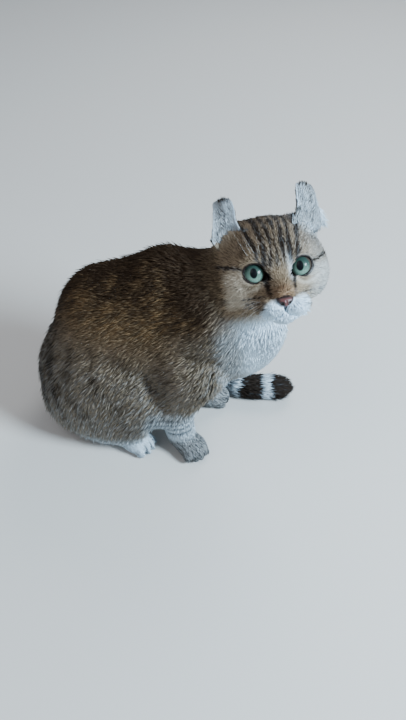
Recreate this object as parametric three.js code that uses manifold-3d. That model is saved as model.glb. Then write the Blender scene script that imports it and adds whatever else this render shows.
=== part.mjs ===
/**
 * A short-coated tabby cat with ears that curl backward, life size, crouched with its head
 * turned to its right and its tail laid round its left side.
 *
 * Millimetres. The cat's own frame has +X towards its chest, +Y to its left and +Z up, with
 * z = 0 at the floor. At the end everything moves so that the origin is the bottom centre of
 * the whole. The flesh is one smooth field made of ellipsoids and tapered capsules that melt
 * into each other. Each sub-part is that field inside its own cutting shape, so neighbours
 * meet face to face with a thin gap.
 */
import * as THREE from 'three';
import { mergeVertices } from 'three/addons/utils/BufferGeometryUtils.js';
import Module from 'manifold-3d';

const wasm = await Module();
wasm.setup();

// Driving sizes
const GAP = 0.3;
const SIDES = [{ name: 'left', s: 1 }, { name: 'right', s: -1 }];
const CELL = { head: 6.4, neck: 14, torso: 17, leg: 12.4, paw: 5.5, tailCut: 5 };
const COAT = { tailSides: 10, tailStep: 13 };

// The trunk: centre, half sizes, nose-up pitch in degrees, and how softly each form melts in
const TRUNK = [
  { centre: [-84, 0, 66], radii: [63, 60, 68], pitch: 0, melt: 0 },
  { centre: [-90, -16, 34], radii: [47, 44, 36], pitch: 0, melt: 24 },
  { centre: [-49, 2, 122], radii: [69, 57, 80], pitch: 20, melt: 30 },
  { centre: [6, 3, 152], radii: [64, 52, 80], pitch: 0, melt: 34 },
  { centre: [44, 4, 158], radii: [50, 46, 64], pitch: -20, melt: 28 },
  { centre: [77, 8, 138], radii: [41, 40, 54], pitch: -38, melt: 22 },
];
const NECK = { from: [52, 4, 180], to: [90, 14, 218], radii: [48, 42], melt: 20 };

// Legs: the haunch, the hind foot lying on the floor, the foreleg and its paw
const THIGH = { x: -52, out: 46, z: 66, radii: [64, 30, 58], pitch: 25, melt: 16 };
const HIND_FOOT = {
  heel: { left: [-70, 44, 18], right: [-62, -38, 18] },
  toe: { left: [-26, 62, 12], right: [-25, -47, 12] },
  radii: [16, 12], ball: [17, 15, 12], ballForward: 4, melt: 10,
};
const FORELEG = {
  shoulder: { x: 34, out: 30, z: 112, radius: 34 },
  elbow: { x: 16, z: 60, radius: 20 },
  wrist: { left: [30, 42], right: [22, -33] },
  upperWrist: { back: 5, z: 62, radius: 20 },
  lowerWrist: { forward: 2, z: 20, radius: 15.2 },
  paw: { left: [38, 44], right: [37, -38] },
  pawYaw: { left: 15, right: -45 },
  pawZ: 11, pawRadii: [19, 16, 13], melt: 16,
};
const TOE = { count: 4, radii: [8.2, 4.7, 7.2], ahead: 10, spread: 6.9, z: 7.6, fan: 10, melt: 2.2 };

// The head frame looks out of the body to the cat's right and up; its own X is out of the face
const HEAD = {
  centre: [103.5, 3.3, 228],
  lookAt: [200.4, -564.6, 633],
  turn: 9.75,
  tilt: 11.75,
  melt: 14,
};
const SKULL = {
  cranium: { centre: [-8, 0, 12], radii: [46, 44, 39] },
  earRoot: { centre: [-10, 28, 29], radii: [17, 15, 14], melt: 16 },
  cheek: { centre: [-4, 30, -4], radii: [32, 23, 28], melt: 16 },
  brow: { centre: [17, 18, 16], radii: [17, 16, 10], melt: 10 },
  jaw: { centre: [8, -1, -25], radii: [32, 28, 20], melt: 14 },
  bridge: { from: [15, 0, 8], to: [42, 0, -20], radii: [14, 9], melt: 12 },
  pad: { centre: [34, 11, -30.5], radii: [15, 13.5, 10.5], melt: 6 },
  chin: { centre: [30, 0, -39], radii: [13, 11, 8], melt: 6 },
};
const EYE = {
  radius: 11, lid: 1.8, melt: 5,
  centre: { left: [23, 21.4, 1.4], right: [23, -20.6, 0.4] },
  halfWidth: 9.2, halfHeight: 7.9, cornerLift: 0.12, innerPoint: 2.6, innerDrop: 3.2, back: 4, length: 24,
};
const NOSE = { centre: [46.6, 0, -25.4], radii: [6, 8.6, 5], pitch: -35, chinward: 0.5 };
const NOSTRIL = { forward: 5.4, out: 3.9, z: -1.2, radii: [2.6, 1.7, 1.5], yaw: 32 };
const MOUTH = {
  line: [[0, -29], [0.3, -33.6], [3.5, -37], [9, -38.6], [15, -37.4], [20.5, -33.6]],
  radius: 1.25, lipDrop: 2.5, lipRadius: 2.1,
};
const EAR = {
  base: { left: [0, 36, 37], right: [0, -36.5, 32] },
  lean: { left: 6, right: 0 },
  length: 52, rootDepth: 0.16, halfWidth: 17.5, waist: 0.32, flare: 0.2, lateral: 0.5, tuck: 0.45,
  startPitch: -6, curl: 150, curlPower: 2.8,
  cup: 0.5, roll: 0.3, thickness: [4.6, 2.2], across: 8, along: 11,
};
const EAR_LOCK = { count: 5, length: 17, width: 4.4, thick: 1.5, steps: 5 };

// The tail: points of its centre line and the radius at each, out to the tips of the coat
const TAIL = [
  { at: [-112, 6, 30], radius: 27 }, { at: [-130, 50, 20], radius: 21 },
  { at: [-94, 88, 16.5], radius: 18 }, { at: [-40, 98, 15.5], radius: 17 },
  { at: [8, 86, 15], radius: 16.5 }, { at: [42, 69, 14], radius: 15.5 },
  { at: [72, 67, 14], radius: 16.2 }, { at: [100, 73, 14.5], radius: 16.6 },
  { at: [116, 77, 13.5], radius: 14.4 },
];
const TAIL_END = { from: 0.92, rings: 3 };
const TAIL_PARTS = [
  { name: 'tail_base', from: 0, to: 0.36 },
  { name: 'tail_mid', from: 0.36, to: 0.7 },
  { name: 'tail_tip', from: 0.7, to: 1 },
];

// Cutting shapes, as ellipsoids: centre, half sizes and pitch
const HEAD_CUT = { centre: [1, 0, -1], radii: [68, 66, 66] };
const NECK_CUT = { through: [52, 4, 180], facing: [0.77, 0, 0.64], reach: 220 };
const FRONT_PAW_CUT = { z: 5, radii: [30, 26, 21] };
const HIND_PAW_CUT = { forward: 5, z: 5, radii: [28, 25, 20] };
const FORELEG_CUT = { x: 24, out: 44, z: 62, radii: [40, 33, 62] };
const HIND_LEG_CUT = { x: -54, out: 64, z: 56, radii: [68, 40, 70], pitch: 20 };

const COLOURS = {
  head: 0x8f8578, neck: 0x9a8f82, torso: 0x6a5f55, front_leg: 0x8c8276, front_paw: 0xb0a89e,
  hind_leg: 0x857a6e, hind_paw: 0xbdb6ac, tail: 0x4a4541, ear: 0xcfcbc6, nose: 0x9c5b50,
};
const EYE_COLOUR = 0x7fb8a4;

// Vectors and frames
const add = (a, b) => [a[0] + b[0], a[1] + b[1], a[2] + b[2]];
const sub = (a, b) => [a[0] - b[0], a[1] - b[1], a[2] - b[2]];
const times = (a, k) => [a[0] * k, a[1] * k, a[2] * k];
const dot = (a, b) => a[0] * b[0] + a[1] * b[1] + a[2] * b[2];
const cross = (a, b) => [a[1] * b[2] - a[2] * b[1], a[2] * b[0] - a[0] * b[2], a[0] * b[1] - a[1] * b[0]];
const norm = (a) => Math.hypot(a[0], a[1], a[2]);
const unit = (a) => times(a, 1 / norm(a));
const radians = (degrees) => degrees * Math.PI / 180;
const mix = (a, b, t) => a + (b - a) * t;

/** A frame with its origin and its forward, left and up directions. */
function frameAt(origin, forward, up) {
  const x = unit(forward);
  const z = unit(sub(up, times(x, dot(up, x))));
  return { origin, axes: [x, cross(z, x), z] };
}

/** A frame turned by yaw to the left and then by pitch, nose up, in degrees. */
function turned(origin, yaw, pitch) {
  const [y, p] = [radians(yaw), radians(pitch)];
  const forward = [Math.cos(y) * Math.cos(p), Math.sin(y) * Math.cos(p), Math.sin(p)];
  return frameAt(origin, forward, [-Math.cos(y) * Math.sin(p), -Math.sin(y) * Math.sin(p), Math.cos(p)]);
}

const into = (frame, p) => frame.axes.map((axis) => dot(sub(p, frame.origin), axis));
const outOf = (frame, q) => frame.axes.reduce((p, axis, i) => add(p, times(axis, q[i])), frame.origin);

/** The head's frame, from where it looks, how far past that it is turned, and its tilt. */
function headFrame() {
  const gaze = unit(sub(HEAD.lookAt, HEAD.centre));
  const level = unit(cross([0, 0, 1], gaze));
  const forward = add(times(gaze, Math.cos(radians(HEAD.turn))), times(level, Math.sin(radians(HEAD.turn))));
  const flat = sub(level, times(forward, dot(level, forward)));
  const upright = cross(forward, unit(flat));
  const up = sub(times(upright, Math.cos(radians(HEAD.tilt))), times(unit(flat), Math.sin(radians(HEAD.tilt))));
  return frameAt(HEAD.centre, forward, up);
}
const SKULL_FRAME = headFrame();

// Fields: negative inside, in about millimetres
function ellipsoid(centre, radii, yaw = 0, pitch = 0) {
  const frame = turned(centre, yaw, pitch);
  return (p) => {
    const q = into(frame, p);
    const a = Math.hypot(q[0] / radii[0], q[1] / radii[1], q[2] / radii[2]);
    const b = Math.hypot(q[0] / radii[0] ** 2, q[1] / radii[1] ** 2, q[2] / radii[2] ** 2);
    return a * (a - 1) / Math.max(b, 1e-9);
  };
}

function capsule(from, to, [fromRadius, toRadius]) {
  const axis = sub(to, from);
  return (p) => {
    const h = Math.min(1, Math.max(0, dot(sub(p, from), axis) / dot(axis, axis)));
    return norm(sub(p, add(from, times(axis, h)))) - mix(fromRadius, toRadius, h);
  };
}

/** Joins fields in turn, each melting softly into what came before it. */
function melted(...forms) {
  return (p) => {
    let d = forms[0].field(p);
    for (const { field, melt } of forms.slice(1)) {
      const e = field(p);
      const h = Math.min(1, Math.max(0, 0.5 + 0.5 * (e - d) / melt));
      d = e + (d - e) * h - melt * h * (1 - h);
    }
    return d;
  };
}

const mirrored = (v, s) => [v[0], v[1] * s, v[2]];
const onBothSides = (make) => SIDES.map(make);

/** A paw's four toes as soft lobes at its front. */
function toes(centre, yaw) {
  const middle = (TOE.count - 1) / 2;
  return Array.from({ length: TOE.count }, (_, i) => {
    const step = i - middle;
    const frame = turned(centre, yaw, 0);
    const at = outOf(frame, [TOE.ahead - 1.6 * step * step, step * TOE.spread, 0]);
    return { field: ellipsoid([at[0], at[1], TOE.z], TOE.radii, yaw + step * TOE.fan), melt: TOE.melt };
  });
}

function hindFoot({ name }) {
  const { heel, toe, radii, ball, ballForward } = HIND_FOOT;
  const [h, t] = [heel[name], toe[name]];
  const yaw = Math.atan2(t[1] - h[1], t[0] - h[0]) * 180 / Math.PI;
  const centre = [t[0] + ballForward, t[1], t[2] - 1];
  return melted(
    { field: capsule(h, t, radii) },
    { field: ellipsoid(centre, ball), melt: 8 },
    ...toes(centre, yaw),
  );
}

function foreleg({ name, s }) {
  const { shoulder, elbow, wrist, upperWrist, lowerWrist, paw, pawYaw, pawZ, pawRadii } = FORELEG;
  const [wx, wy] = wrist[name];
  const centre = [...paw[name], pawZ];
  const upper = [wx - upperWrist.back, wy, upperWrist.z];
  const lower = [wx + lowerWrist.forward, wy, lowerWrist.z];
  const top = [shoulder.x, s * shoulder.out, shoulder.z];
  return melted(
    { field: capsule(top, [elbow.x, wy, elbow.z], [shoulder.radius, elbow.radius]) },
    { field: capsule(upper, lower, [upperWrist.radius, lowerWrist.radius]), melt: 12 },
    { field: ellipsoid(centre, pawRadii, pawYaw[name]), melt: 7 },
    ...toes(centre, pawYaw[name]),
  );
}

/** The head in its own frame, eyeballs' lids included and not yet opened. */
function skull() {
  const { cranium, earRoot, cheek, brow, jaw, bridge, pad, chin } = SKULL;
  const pair = (form) => onBothSides(({ s }) => (
    { field: ellipsoid(mirrored(form.centre, s), form.radii), melt: form.melt }));
  const interleaved = [pair(earRoot), pair(cheek), pair(brow)];
  return melted(
    { field: ellipsoid(cranium.centre, cranium.radii) },
    ...interleaved.map((forms) => forms[1]),
    ...interleaved.map((forms) => forms[0]),
    { field: ellipsoid(jaw.centre, jaw.radii), melt: jaw.melt },
    { field: capsule(bridge.from, bridge.to, bridge.radii), melt: bridge.melt },
    ...pair(pad),
    { field: ellipsoid(chin.centre, chin.radii), melt: chin.melt },
    ...onBothSides(({ name }) => {
      const r = EYE.radius + EYE.lid;
      return { field: ellipsoid(EYE.centre[name], [r, r, r]), melt: EYE.melt };
    }),
  );
}
const skullField = skull();

/** The whole flesh of the cat apart from its tail and ears. */
const fleshField = melted(
  ...TRUNK.map(({ centre, radii, pitch, melt }) => ({ field: ellipsoid(centre, radii, 0, pitch), melt })),
  { field: capsule(NECK.from, NECK.to, NECK.radii), melt: NECK.melt },
  ...[...SIDES].reverse().flatMap((side) => [
    {
      field: ellipsoid([THIGH.x, side.s * THIGH.out, THIGH.z], THIGH.radii, 0, THIGH.pitch),
      melt: THIGH.melt,
    },
    { field: hindFoot(side), melt: HIND_FOOT.melt },
    { field: foreleg(side), melt: FORELEG.melt },
  ]),
  { field: (p) => skullField(into(SKULL_FRAME, p)), melt: HEAD.melt },
);

// Solids
function solidFrom(positions, triangles) {
  const mesh = new wasm.Mesh({
    numProp: 3,
    vertProperties: Float32Array.from(positions.flat()),
    triVerts: Uint32Array.from(triangles.flat()),
  });
  mesh.merge();
  return new wasm.Manifold(mesh);
}

function solidFromGeometry(geometry, place) {
  geometry.deleteAttribute('normal');
  geometry.deleteAttribute('uv');
  const merged = mergeVertices(geometry, 1e-4);
  const { array } = merged.attributes.position;
  const positions = Array.from({ length: array.length / 3 }, (_, i) => place(Array.from(array.slice(3 * i, 3 * i + 3))));
  const index = Array.from(merged.index.array);
  const triangles = Array.from({ length: index.length / 3 }, (_, i) => index.slice(3 * i, 3 * i + 3));
  return solidFrom(positions, triangles.filter(([a, b, c]) => a !== b && b !== c && c !== a));
}

/** The field's zero surface inside a box, as a closed solid of even cells. */
function solidFromField(field, low, high, cell, level = 0) {
  const margin = 1.5 * cell;
  const start = low.map((v) => v - margin);
  const counts = low.map((v, i) => Math.ceil((high[i] - v + 2 * margin) / cell) + 1);
  const boxed = (p) => {
    const wall = Math.max(...p.map((v, i) => Math.max(low[i] - v, v - high[i])));
    return Math.max(field(p) - level, wall);
  };
  const at = (i, j, k) => (k * counts[1] + j) * counts[0] + i;
  const point = (i, j, k) => [start[0] + i * cell, start[1] + j * cell, start[2] + k * cell];
  const values = new Float64Array(counts[0] * counts[1] * counts[2]);
  for (let k = 0; k < counts[2]; k++) {
    for (let j = 0; j < counts[1]; j++) {
      for (let i = 0; i < counts[0]; i++) values[at(i, j, k)] = boxed(point(i, j, k));
    }
  }
  const vertices = [];
  const vertexOf = new Map();
  const steps = [[1, 0, 0], [0, 1, 0], [0, 0, 1]];
  const slope = (p) => {
    const e = 0.05 * cell;
    return steps.map((s) => (boxed(add(p, times(s, e))) - boxed(sub(p, times(s, e)))) / (2 * e));
  };

  /** The cell's one vertex: the mean of its edges' crossings, moved onto the surface. */
  const cellVertex = (i, j, k) => {
    const key = at(i, j, k);
    if (vertexOf.has(key)) return vertexOf.get(key);
    const crossings = [];
    steps.forEach((step, axis) => {
      const [u, v] = [steps[(axis + 1) % 3], steps[(axis + 2) % 3]];
      for (const a of [0, 1]) {
        for (const b of [0, 1]) {
          const corner = [0, 1, 2].map((n) => [i, j, k][n] + a * u[n] + b * v[n]);
          const end = add(corner, step);
          const [d, e] = [values[at(...corner)], values[at(...end)]];
          if ((d < 0) !== (e < 0)) crossings.push(add(point(...corner), times(step, cell * d / (d - e))));
        }
      }
    });
    let p = times(crossings.reduce(add), 1 / crossings.length);
    for (let round = 0; round < 3; round++) {
      const g = slope(p);
      const move = Math.max(-0.4 * cell, Math.min(0.4 * cell, boxed(p) / Math.max(dot(g, g), 0.2)));
      p = sub(p, times(g, move));
    }
    vertexOf.set(key, vertices.length);
    vertices.push(p);
    return vertexOf.get(key);
  };

  const triangles = [];
  const quad = (a, b, c, d) => {
    const diagonal = (m, n) => norm(sub(vertices[m], vertices[n]));
    if (diagonal(a, c) < diagonal(b, d)) triangles.push([a, b, c], [a, c, d]);
    else triangles.push([a, b, d], [b, c, d]);
  };
  for (let k = 1; k < counts[2] - 1; k++) {
    for (let j = 1; j < counts[1] - 1; j++) {
      for (let i = 1; i < counts[0] - 1; i++) {
        steps.forEach((step, axis) => {
          const inside = values[at(i, j, k)] < 0;
          if (inside === values[at(i + step[0], j + step[1], k + step[2])] < 0) return;
          const [u, v] = [steps[(axis + 1) % 3], steps[(axis + 2) % 3]];
          const around = [[0, 0], [1, 0], [1, 1], [0, 1]].map(([a, b]) => (
            cellVertex(...[0, 1, 2].map((n) => [i, j, k][n] - a * u[n] - b * v[n]))));
          if (inside) quad(...around);
          else quad(...around.reverse());
        });
      }
    }
  }
  return solidFrom(vertices, triangles);
}

const ball = (centre, radii, yaw = 0, pitch = 0, across = 20, along = 12) => {
  const frame = turned(centre, yaw, pitch);
  const size = (p) => [p[0] * radii[0], p[1] * radii[1], p[2] * radii[2]];
  return solidFromGeometry(new THREE.SphereGeometry(1, across, along), (p) => outOf(frame, size(p)));
};
const inHead = (place) => (p) => outOf(SKULL_FRAME, place(p));

/** An ellipsoid in the head's frame. */
function headBall(centre, radii, across, along) {
  const size = (p) => add(centre, [p[0] * radii[0], p[1] * radii[1], p[2] * radii[2]]);
  return solidFromGeometry(new THREE.SphereGeometry(1, across, along), inHead(size));
}

const FLOOR_CUT = solidFromGeometry(new THREE.BoxGeometry(900, 900, 200), (p) => add(p, [0, 0, -100]));

/** The largest closed body of a solid, so that no loose scrap or sealed hollow stays. */
function largest(solid) {
  return solid.decompose().reduce((a, b) => (b.volume() > a.volume() ? b : a));
}

/** The direction in which a row of points runs at each point. */
const runs = (points) => points.map((_, i) => (
  unit(sub(points[Math.min(i + 1, points.length - 1)], points[Math.max(i - 1, 0)]))));

/** A closed tube or flat lock through points, with its half width and half thickness at each. */
function loft(points, widths, thicknesses, sideways, sides, alongs = runs(points)) {
  const rings = points.map((p, i) => {
    const along = alongs[i];
    const side = unit(sub(sideways, times(along, dot(sideways, along))));
    const face = cross(along, side);
    return Array.from({ length: sides }, (_, n) => {
      const turn = 2 * Math.PI * n / sides;
      const out = times(side, widths[i] * Math.cos(turn));
      return add(p, add(out, times(face, thicknesses[i] * Math.sin(turn))));
    });
  });
  const vertices = rings.flat();
  const triangles = [];
  for (let i = 0; i < rings.length - 1; i++) {
    for (let n = 0; n < sides; n++) {
      const [a, b] = [i * sides + n, i * sides + (n + 1) % sides];
      triangles.push([a, b, b + sides], [a, b + sides, a + sides]);
    }
  }
  const last = vertices.length - sides;
  vertices.push(points[0], points[points.length - 1]);
  for (let n = 0; n < sides; n++) {
    const m = (n + 1) % sides;
    triangles.push([vertices.length - 2, m, n], [vertices.length - 1, last + n, last + m]);
  }
  return solidFrom(vertices, triangles);
}

// Cutting shapes, each grown by a given amount for the neighbour that it leaves
const headCut = (grow) => headBall(HEAD_CUT.centre, HEAD_CUT.radii.map((r) => r + grow), 24, 16);

function neckCut(grow) {
  const { through, facing, reach } = NECK_CUT;
  const frame = frameAt(sub(through, times(unit(facing), grow)), facing, [0, 0, 1]);
  const size = new THREE.BoxGeometry(reach, 2 * reach, 2 * reach);
  return solidFromGeometry(size, (p) => outOf(frame, add(p, [reach / 2, 0, 0])));
}

const grown = (radii, grow) => radii.map((r) => r + grow);
const frontPawCut = ({ name }) => (grow) => (
  ball([...FORELEG.paw[name], FRONT_PAW_CUT.z], grown(FRONT_PAW_CUT.radii, grow), FORELEG.pawYaw[name]));
const hindPawCut = ({ name }) => (grow) => {
  const [x, y] = HIND_FOOT.toe[name];
  return ball([x + HIND_PAW_CUT.forward, y, HIND_PAW_CUT.z], grown(HIND_PAW_CUT.radii, grow));
};
const forelegCut = ({ s }) => (grow) => (
  ball([FORELEG_CUT.x, s * FORELEG_CUT.out, FORELEG_CUT.z], grown(FORELEG_CUT.radii, grow)));
const hindLegCut = ({ s }) => (grow) => {
  const { x, out, z, radii, pitch } = HIND_LEG_CUT;
  return ball([x, s * out, z], grown(radii, grow), 0, pitch);
};

/** The flesh near a cutting shape, taken out of it and clear of the shapes cut before it. */
function fleshPart(cut, before, cell) {
  const box = cut(0).boundingBox();
  const margin = 2 * cell;
  const low = box.min.map((v) => v - margin);
  const high = box.max.map((v) => v + margin);
  const flesh = solidFromField(fleshField, low, high, cell);
  const shape = before.reduce((solid, other) => solid.subtract(other(GAP)), flesh.intersect(cut(0)));
  return largest(shape.subtract(FLOOR_CUT));
}

// Ears
function earSheet(side, u, v) {
  const { base, lean, length, rootDepth, startPitch, curl, curlPower, cup, roll } = EAR;
  const pitchAt = (t) => radians(startPitch + curl * Math.max(t, 0) ** curlPower);
  const steps = 40;
  let [x, z] = [0, 0];
  for (let n = 0; n < steps; n++) {
    const t = v * (n + 0.5) / steps;
    x -= Math.sin(pitchAt(t)) * length * v / steps;
    z += Math.cos(pitchAt(t)) * length * v / steps;
  }
  const clamped = Math.min(1, Math.max(0, v));
  const rooted = Math.min(1, Math.max(0, (v + rootDepth) / (0.12 + rootDepth)));
  const lateral = EAR.lateral + (1 - EAR.lateral) * (1 - clamped) ** 1.5;
  const medial = EAR.waist + (1 - EAR.waist) * Math.exp(-clamped / EAR.flare)
    + 0.08 * Math.sin(Math.PI * Math.min(1, Math.max(0, (clamped - 0.35) / 0.5)));
  const edge = u < 0 ? medial : lateral * (1 - EAR.tuck * (1 - rooted * rooted * (3 - 2 * rooted)));
  const half = EAR.halfWidth * Math.sqrt(Math.max(1 - clamped ** 5, 0)) * edge;
  const depth = (cup * (1 - clamped) ** 1.5 - roll * clamped) * u * u * half;
  const across = unit([-0.3, 0.95, -0.1]);
  const outward = [Math.cos(pitchAt(v)), 0, Math.sin(pitchAt(v))];
  const q = add(add([x, -1.5 * Math.sin(3.1 * clamped), z], times(across, u * half)), times(outward, depth));
  const t = radians(lean[side.name]);
  const leant = [
    q[0],
    q[1] * Math.cos(t) + q[2] * Math.sin(t),
    -0.6 * q[1] * Math.sin(t) + q[2] * Math.cos(t),
  ];
  return add(mirrored(leant, side.s), base[side.name]);
}

/** The outward direction of the ear's cup at a place on its sheet. */
function earFacing(side, u, v) {
  const e = 0.02;
  const [a, b] = [Math.min(v, 0.95) - e, Math.min(v, 0.95) + e];
  const across = sub(earSheet(side, u + e, (a + b) / 2), earSheet(side, u - e, (a + b) / 2));
  const along = sub(earSheet(side, u, b), earSheet(side, u, a));
  return times(unit(cross(across, along)), -side.s * -1);
}

function ear(side) {
  const rows = Array.from({ length: EAR.along + 1 }, (_, i) => mix(-EAR.rootDepth, 1, i / EAR.along));
  const columns = Array.from({ length: EAR.across + 1 }, (_, i) => -1 + 2 * i / EAR.across);
  const face = (sign) => rows.flatMap((v) => columns.map((u) => {
    const thick = mix(EAR.thickness[0], EAR.thickness[1], Math.max(v, 0)) * (1 - 0.35 * u * u);
    const middle = earSheet(side, v === 1 ? 0 : u, v);
    return outOf(SKULL_FRAME, add(middle, times(earFacing(side, v === 1 ? 0 : u, v), sign * thick / 2)));
  }));
  const width = columns.length;
  const vertices = [...face(1), ...face(-1)];
  const back = rows.length * width;
  const triangles = [];
  const quad = (a, b, c, d) => triangles.push([a, b, c], [a, c, d]);
  for (let i = 0; i < rows.length - 1; i++) {
    for (let j = 0; j < width - 1; j++) {
      const [a, b] = [i * width + j, i * width + j + 1];
      const [c, d] = [b + width, a + width];
      quad(a, b, c, d);
      triangles.push([back + a, back + c, back + b], [back + a, back + d, back + c]);
    }
    const [first, last] = [i * width, i * width + width - 1];
    quad(back + first, first, first + width, back + first + width);
    quad(last, back + last, back + last + width, last + width);
  }
  for (let j = 0; j < width - 1; j++) {
    quad(back + j, back + j + 1, j + 1, j);
    const top = (rows.length - 1) * width + j;
    quad(top, top + 1, back + top + 1, back + top);
  }
  const merged = collapse(vertices, triangles);
  return solidFrom(merged.vertices, side.s > 0 ? merged.triangles : merged.triangles.map((t) => t.reverse()));
}

/** Joins vertices that share one place and drops the triangles that this leaves flat. */
function collapse(vertices, triangles) {
  const seen = new Map();
  const kept = [];
  const renamed = vertices.map((p) => {
    const key = p.map((v) => Math.round(v * 1e3)).join();
    if (!seen.has(key)) seen.set(key, kept.push(p) - 1);
    return seen.get(key);
  });
  const faces = triangles.map((t) => t.map((n) => renamed[n]));
  return { vertices: kept, triangles: faces.filter(([a, b, c]) => a !== b && b !== c && c !== a) };
}

/** Fine hair inside the ear, as flat tapered locks that lie outward over its cup. */
function earLocks(side) {
  return Array.from({ length: EAR_LOCK.count }, (_, n) => {
    const t = n / (EAR_LOCK.count - 1);
    const root = { u: mix(-0.75, 0.1, t), v: mix(0.16, 0.3, t) };
    const spine = Array.from({ length: EAR_LOCK.steps + 1 }, (_, i) => {
      const f = i / EAR_LOCK.steps;
      const rise = EAR_LOCK.length * (0.8 + 0.25 * Math.sin(2.1 * n)) * f;
      const at = earSheet(side, root.u + 0.55 * f, root.v + rise / EAR.length * 0.9);
      const lift = 0.4 + 2.4 * Math.sin(Math.PI * f * 0.62);
      return outOf(SKULL_FRAME, add(at, times(earFacing(side, root.u, root.v), lift)));
    });
    const taper = spine.map((_, i) => Math.sqrt(Math.max(1 - (i / EAR_LOCK.steps) ** 1.6, 0.02)));
    const across = sub(outOf(SKULL_FRAME, [0, 1, 0]), SKULL_FRAME.origin);
    const widths = taper.map((k) => 0.5 * EAR_LOCK.width * k);
    return loft(spine, widths, taper.map((k) => 0.5 * EAR_LOCK.thick * k + 0.1), across, 4);
  });
}

// Face
/** The opening between the lids, as a round prism drawn to a point at the inner corner. */
function lidOpening({ name, s }) {
  const centre = EYE.centre[name];
  const outline = new THREE.Shape();
  const corners = 24;
  for (let i = 0; i < corners; i++) {
    const turn = 2 * Math.PI * i / corners;
    const inner = Math.max(-Math.cos(turn), 0) ** 6;
    const y = EYE.halfWidth * Math.cos(turn) - EYE.innerPoint * inner;
    const z = EYE.halfHeight * Math.sin(turn) + EYE.cornerLift * y - EYE.innerDrop * inner;
    if (i === 0) outline.moveTo(s * y, z);
    else outline.lineTo(s * y, z);
  }
  outline.closePath();
  const prism = new THREE.ExtrudeGeometry(outline, { depth: EYE.length, bevelEnabled: false });
  return solidFromGeometry(prism, inHead((p) => add(centre, [EYE.back + p[2], p[0], p[1]])));
}

/** How far out of the face the head's surface lies at a place across and up. */
function faceDepth(y, z) {
  let [inside, outside] = [0, 80];
  for (let n = 0; n < 30; n++) {
    const middle = (inside + outside) / 2;
    if (fleshField(outOf(SKULL_FRAME, [middle, y, z])) < 0) inside = middle;
    else outside = middle;
  }
  return inside;
}

function mouthPoints(s, drop) {
  const curve = new THREE.CatmullRomCurve3(MOUTH.line.map(([y, z]) => new THREE.Vector3(y, z, 0)));
  return curve.getPoints(10).map(({ x, y }) => [faceDepth(s * x, y - drop), s * x, y - drop]);
}

function mouthGroove({ s }) {
  const points = mouthPoints(s, 0).map((q) => outOf(SKULL_FRAME, q));
  const radii = points.map((_, i) => MOUTH.radius * (1 - 0.6 * (i / (points.length - 1)) ** 3));
  return loft(points, radii, radii, SKULL_FRAME.axes[0], 5);
}

function lowerLip() {
  const half = (s) => mouthPoints(s, MOUTH.lipDrop).slice(3, 8);
  const points = [...half(-1).reverse(), ...half(1)].map((q) => outOf(SKULL_FRAME, add(q, [-1.1, 0, 0])));
  const radii = points.map((_, i) => MOUTH.lipRadius * Math.sin(Math.PI * mix(0.12, 0.88, i / (points.length - 1))));
  return loft(points, radii, radii, SKULL_FRAME.axes[0], 5);
}

/** The nose leather: wide at the top and drawn in towards the lip. */
function noseLeather(grow) {
  const { centre, radii, pitch, chinward } = NOSE;
  const frame = turned(centre, 0, pitch);
  const place = (p) => {
    const narrow = mix(1, chinward, Math.min(1, Math.max(0, 0.45 - 0.75 * p[2])));
    const size = [p[0] * (radii[0] + grow), p[1] * narrow * (radii[1] + grow), p[2] * (radii[2] + grow)];
    return outOf(SKULL_FRAME, outOf(frame, size));
  };
  return solidFromGeometry(new THREE.SphereGeometry(1, 14, 9), place);
}

function nostril({ s }) {
  const { forward, out, z, radii, yaw } = NOSTRIL;
  const noseFrame = turned(NOSE.centre, 0, NOSE.pitch / 2);
  const frame = turned(outOf(noseFrame, [forward, s * out, z]), s * yaw, 0);
  const place = (p) => outOf(SKULL_FRAME, outOf(frame, [p[0] * radii[0], p[1] * radii[1], p[2] * radii[2]]));
  return solidFromGeometry(new THREE.SphereGeometry(1, 8, 6), place);
}

function eyeball({ name }, grow) {
  const r = EYE.radius + grow;
  return headBall(EYE.centre[name], [r, r, r], 16, 12);
}

function head() {
  let solid = fleshPart(headCut, [], CELL.head).add(lowerLip());
  for (const side of SIDES) {
    solid = solid.subtract(lidOpening(side)).subtract(eyeball(side, GAP)).subtract(mouthGroove(side));
  }
  return largest(solid.subtract(noseLeather(GAP)));
}

// Tail
function tailPart({ from, to }) {
  const centreLine = new THREE.CatmullRomCurve3(TAIL.map(({ at }) => new THREE.Vector3(...at)));
  const last = TAIL.length - 1;
  const radiusAt = (t) => {
    const i = Math.min(last - 1, Math.floor(t * last));
    const rounding = Math.max(0, (t - TAIL_END.from) / (1 - TAIL_END.from));
    return mix(TAIL[i].radius, TAIL[i + 1].radius, t * last - i) * Math.sqrt(1.04 - rounding ** 2);
  };
  const length = centreLine.getLength();
  const steps = Math.round((to - from) * length / COAT.tailStep);
  const gap = to < 1 ? 1.5 * GAP / length : 0;
  const bodyEnd = to < 1 ? to - gap : TAIL_END.from;
  const rings = Array.from({ length: steps + 1 }, (_, i) => mix(from, bodyEnd, i / steps));
  for (let i = 1; to === 1 && i <= TAIL_END.rings; i++) {
    rings.push(mix(bodyEnd, 1, Math.sin(Math.PI / 2 * i / TAIL_END.rings)));
  }
  const points = rings.map((t) => centreLine.getPoint(t).toArray());
  const alongs = rings.map((t) => centreLine.getTangent(t).toArray());
  const radii = rings.map(radiusAt);
  return loft(points, radii, radii, [0, 0, 1], COAT.tailSides, alongs);
}

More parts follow.
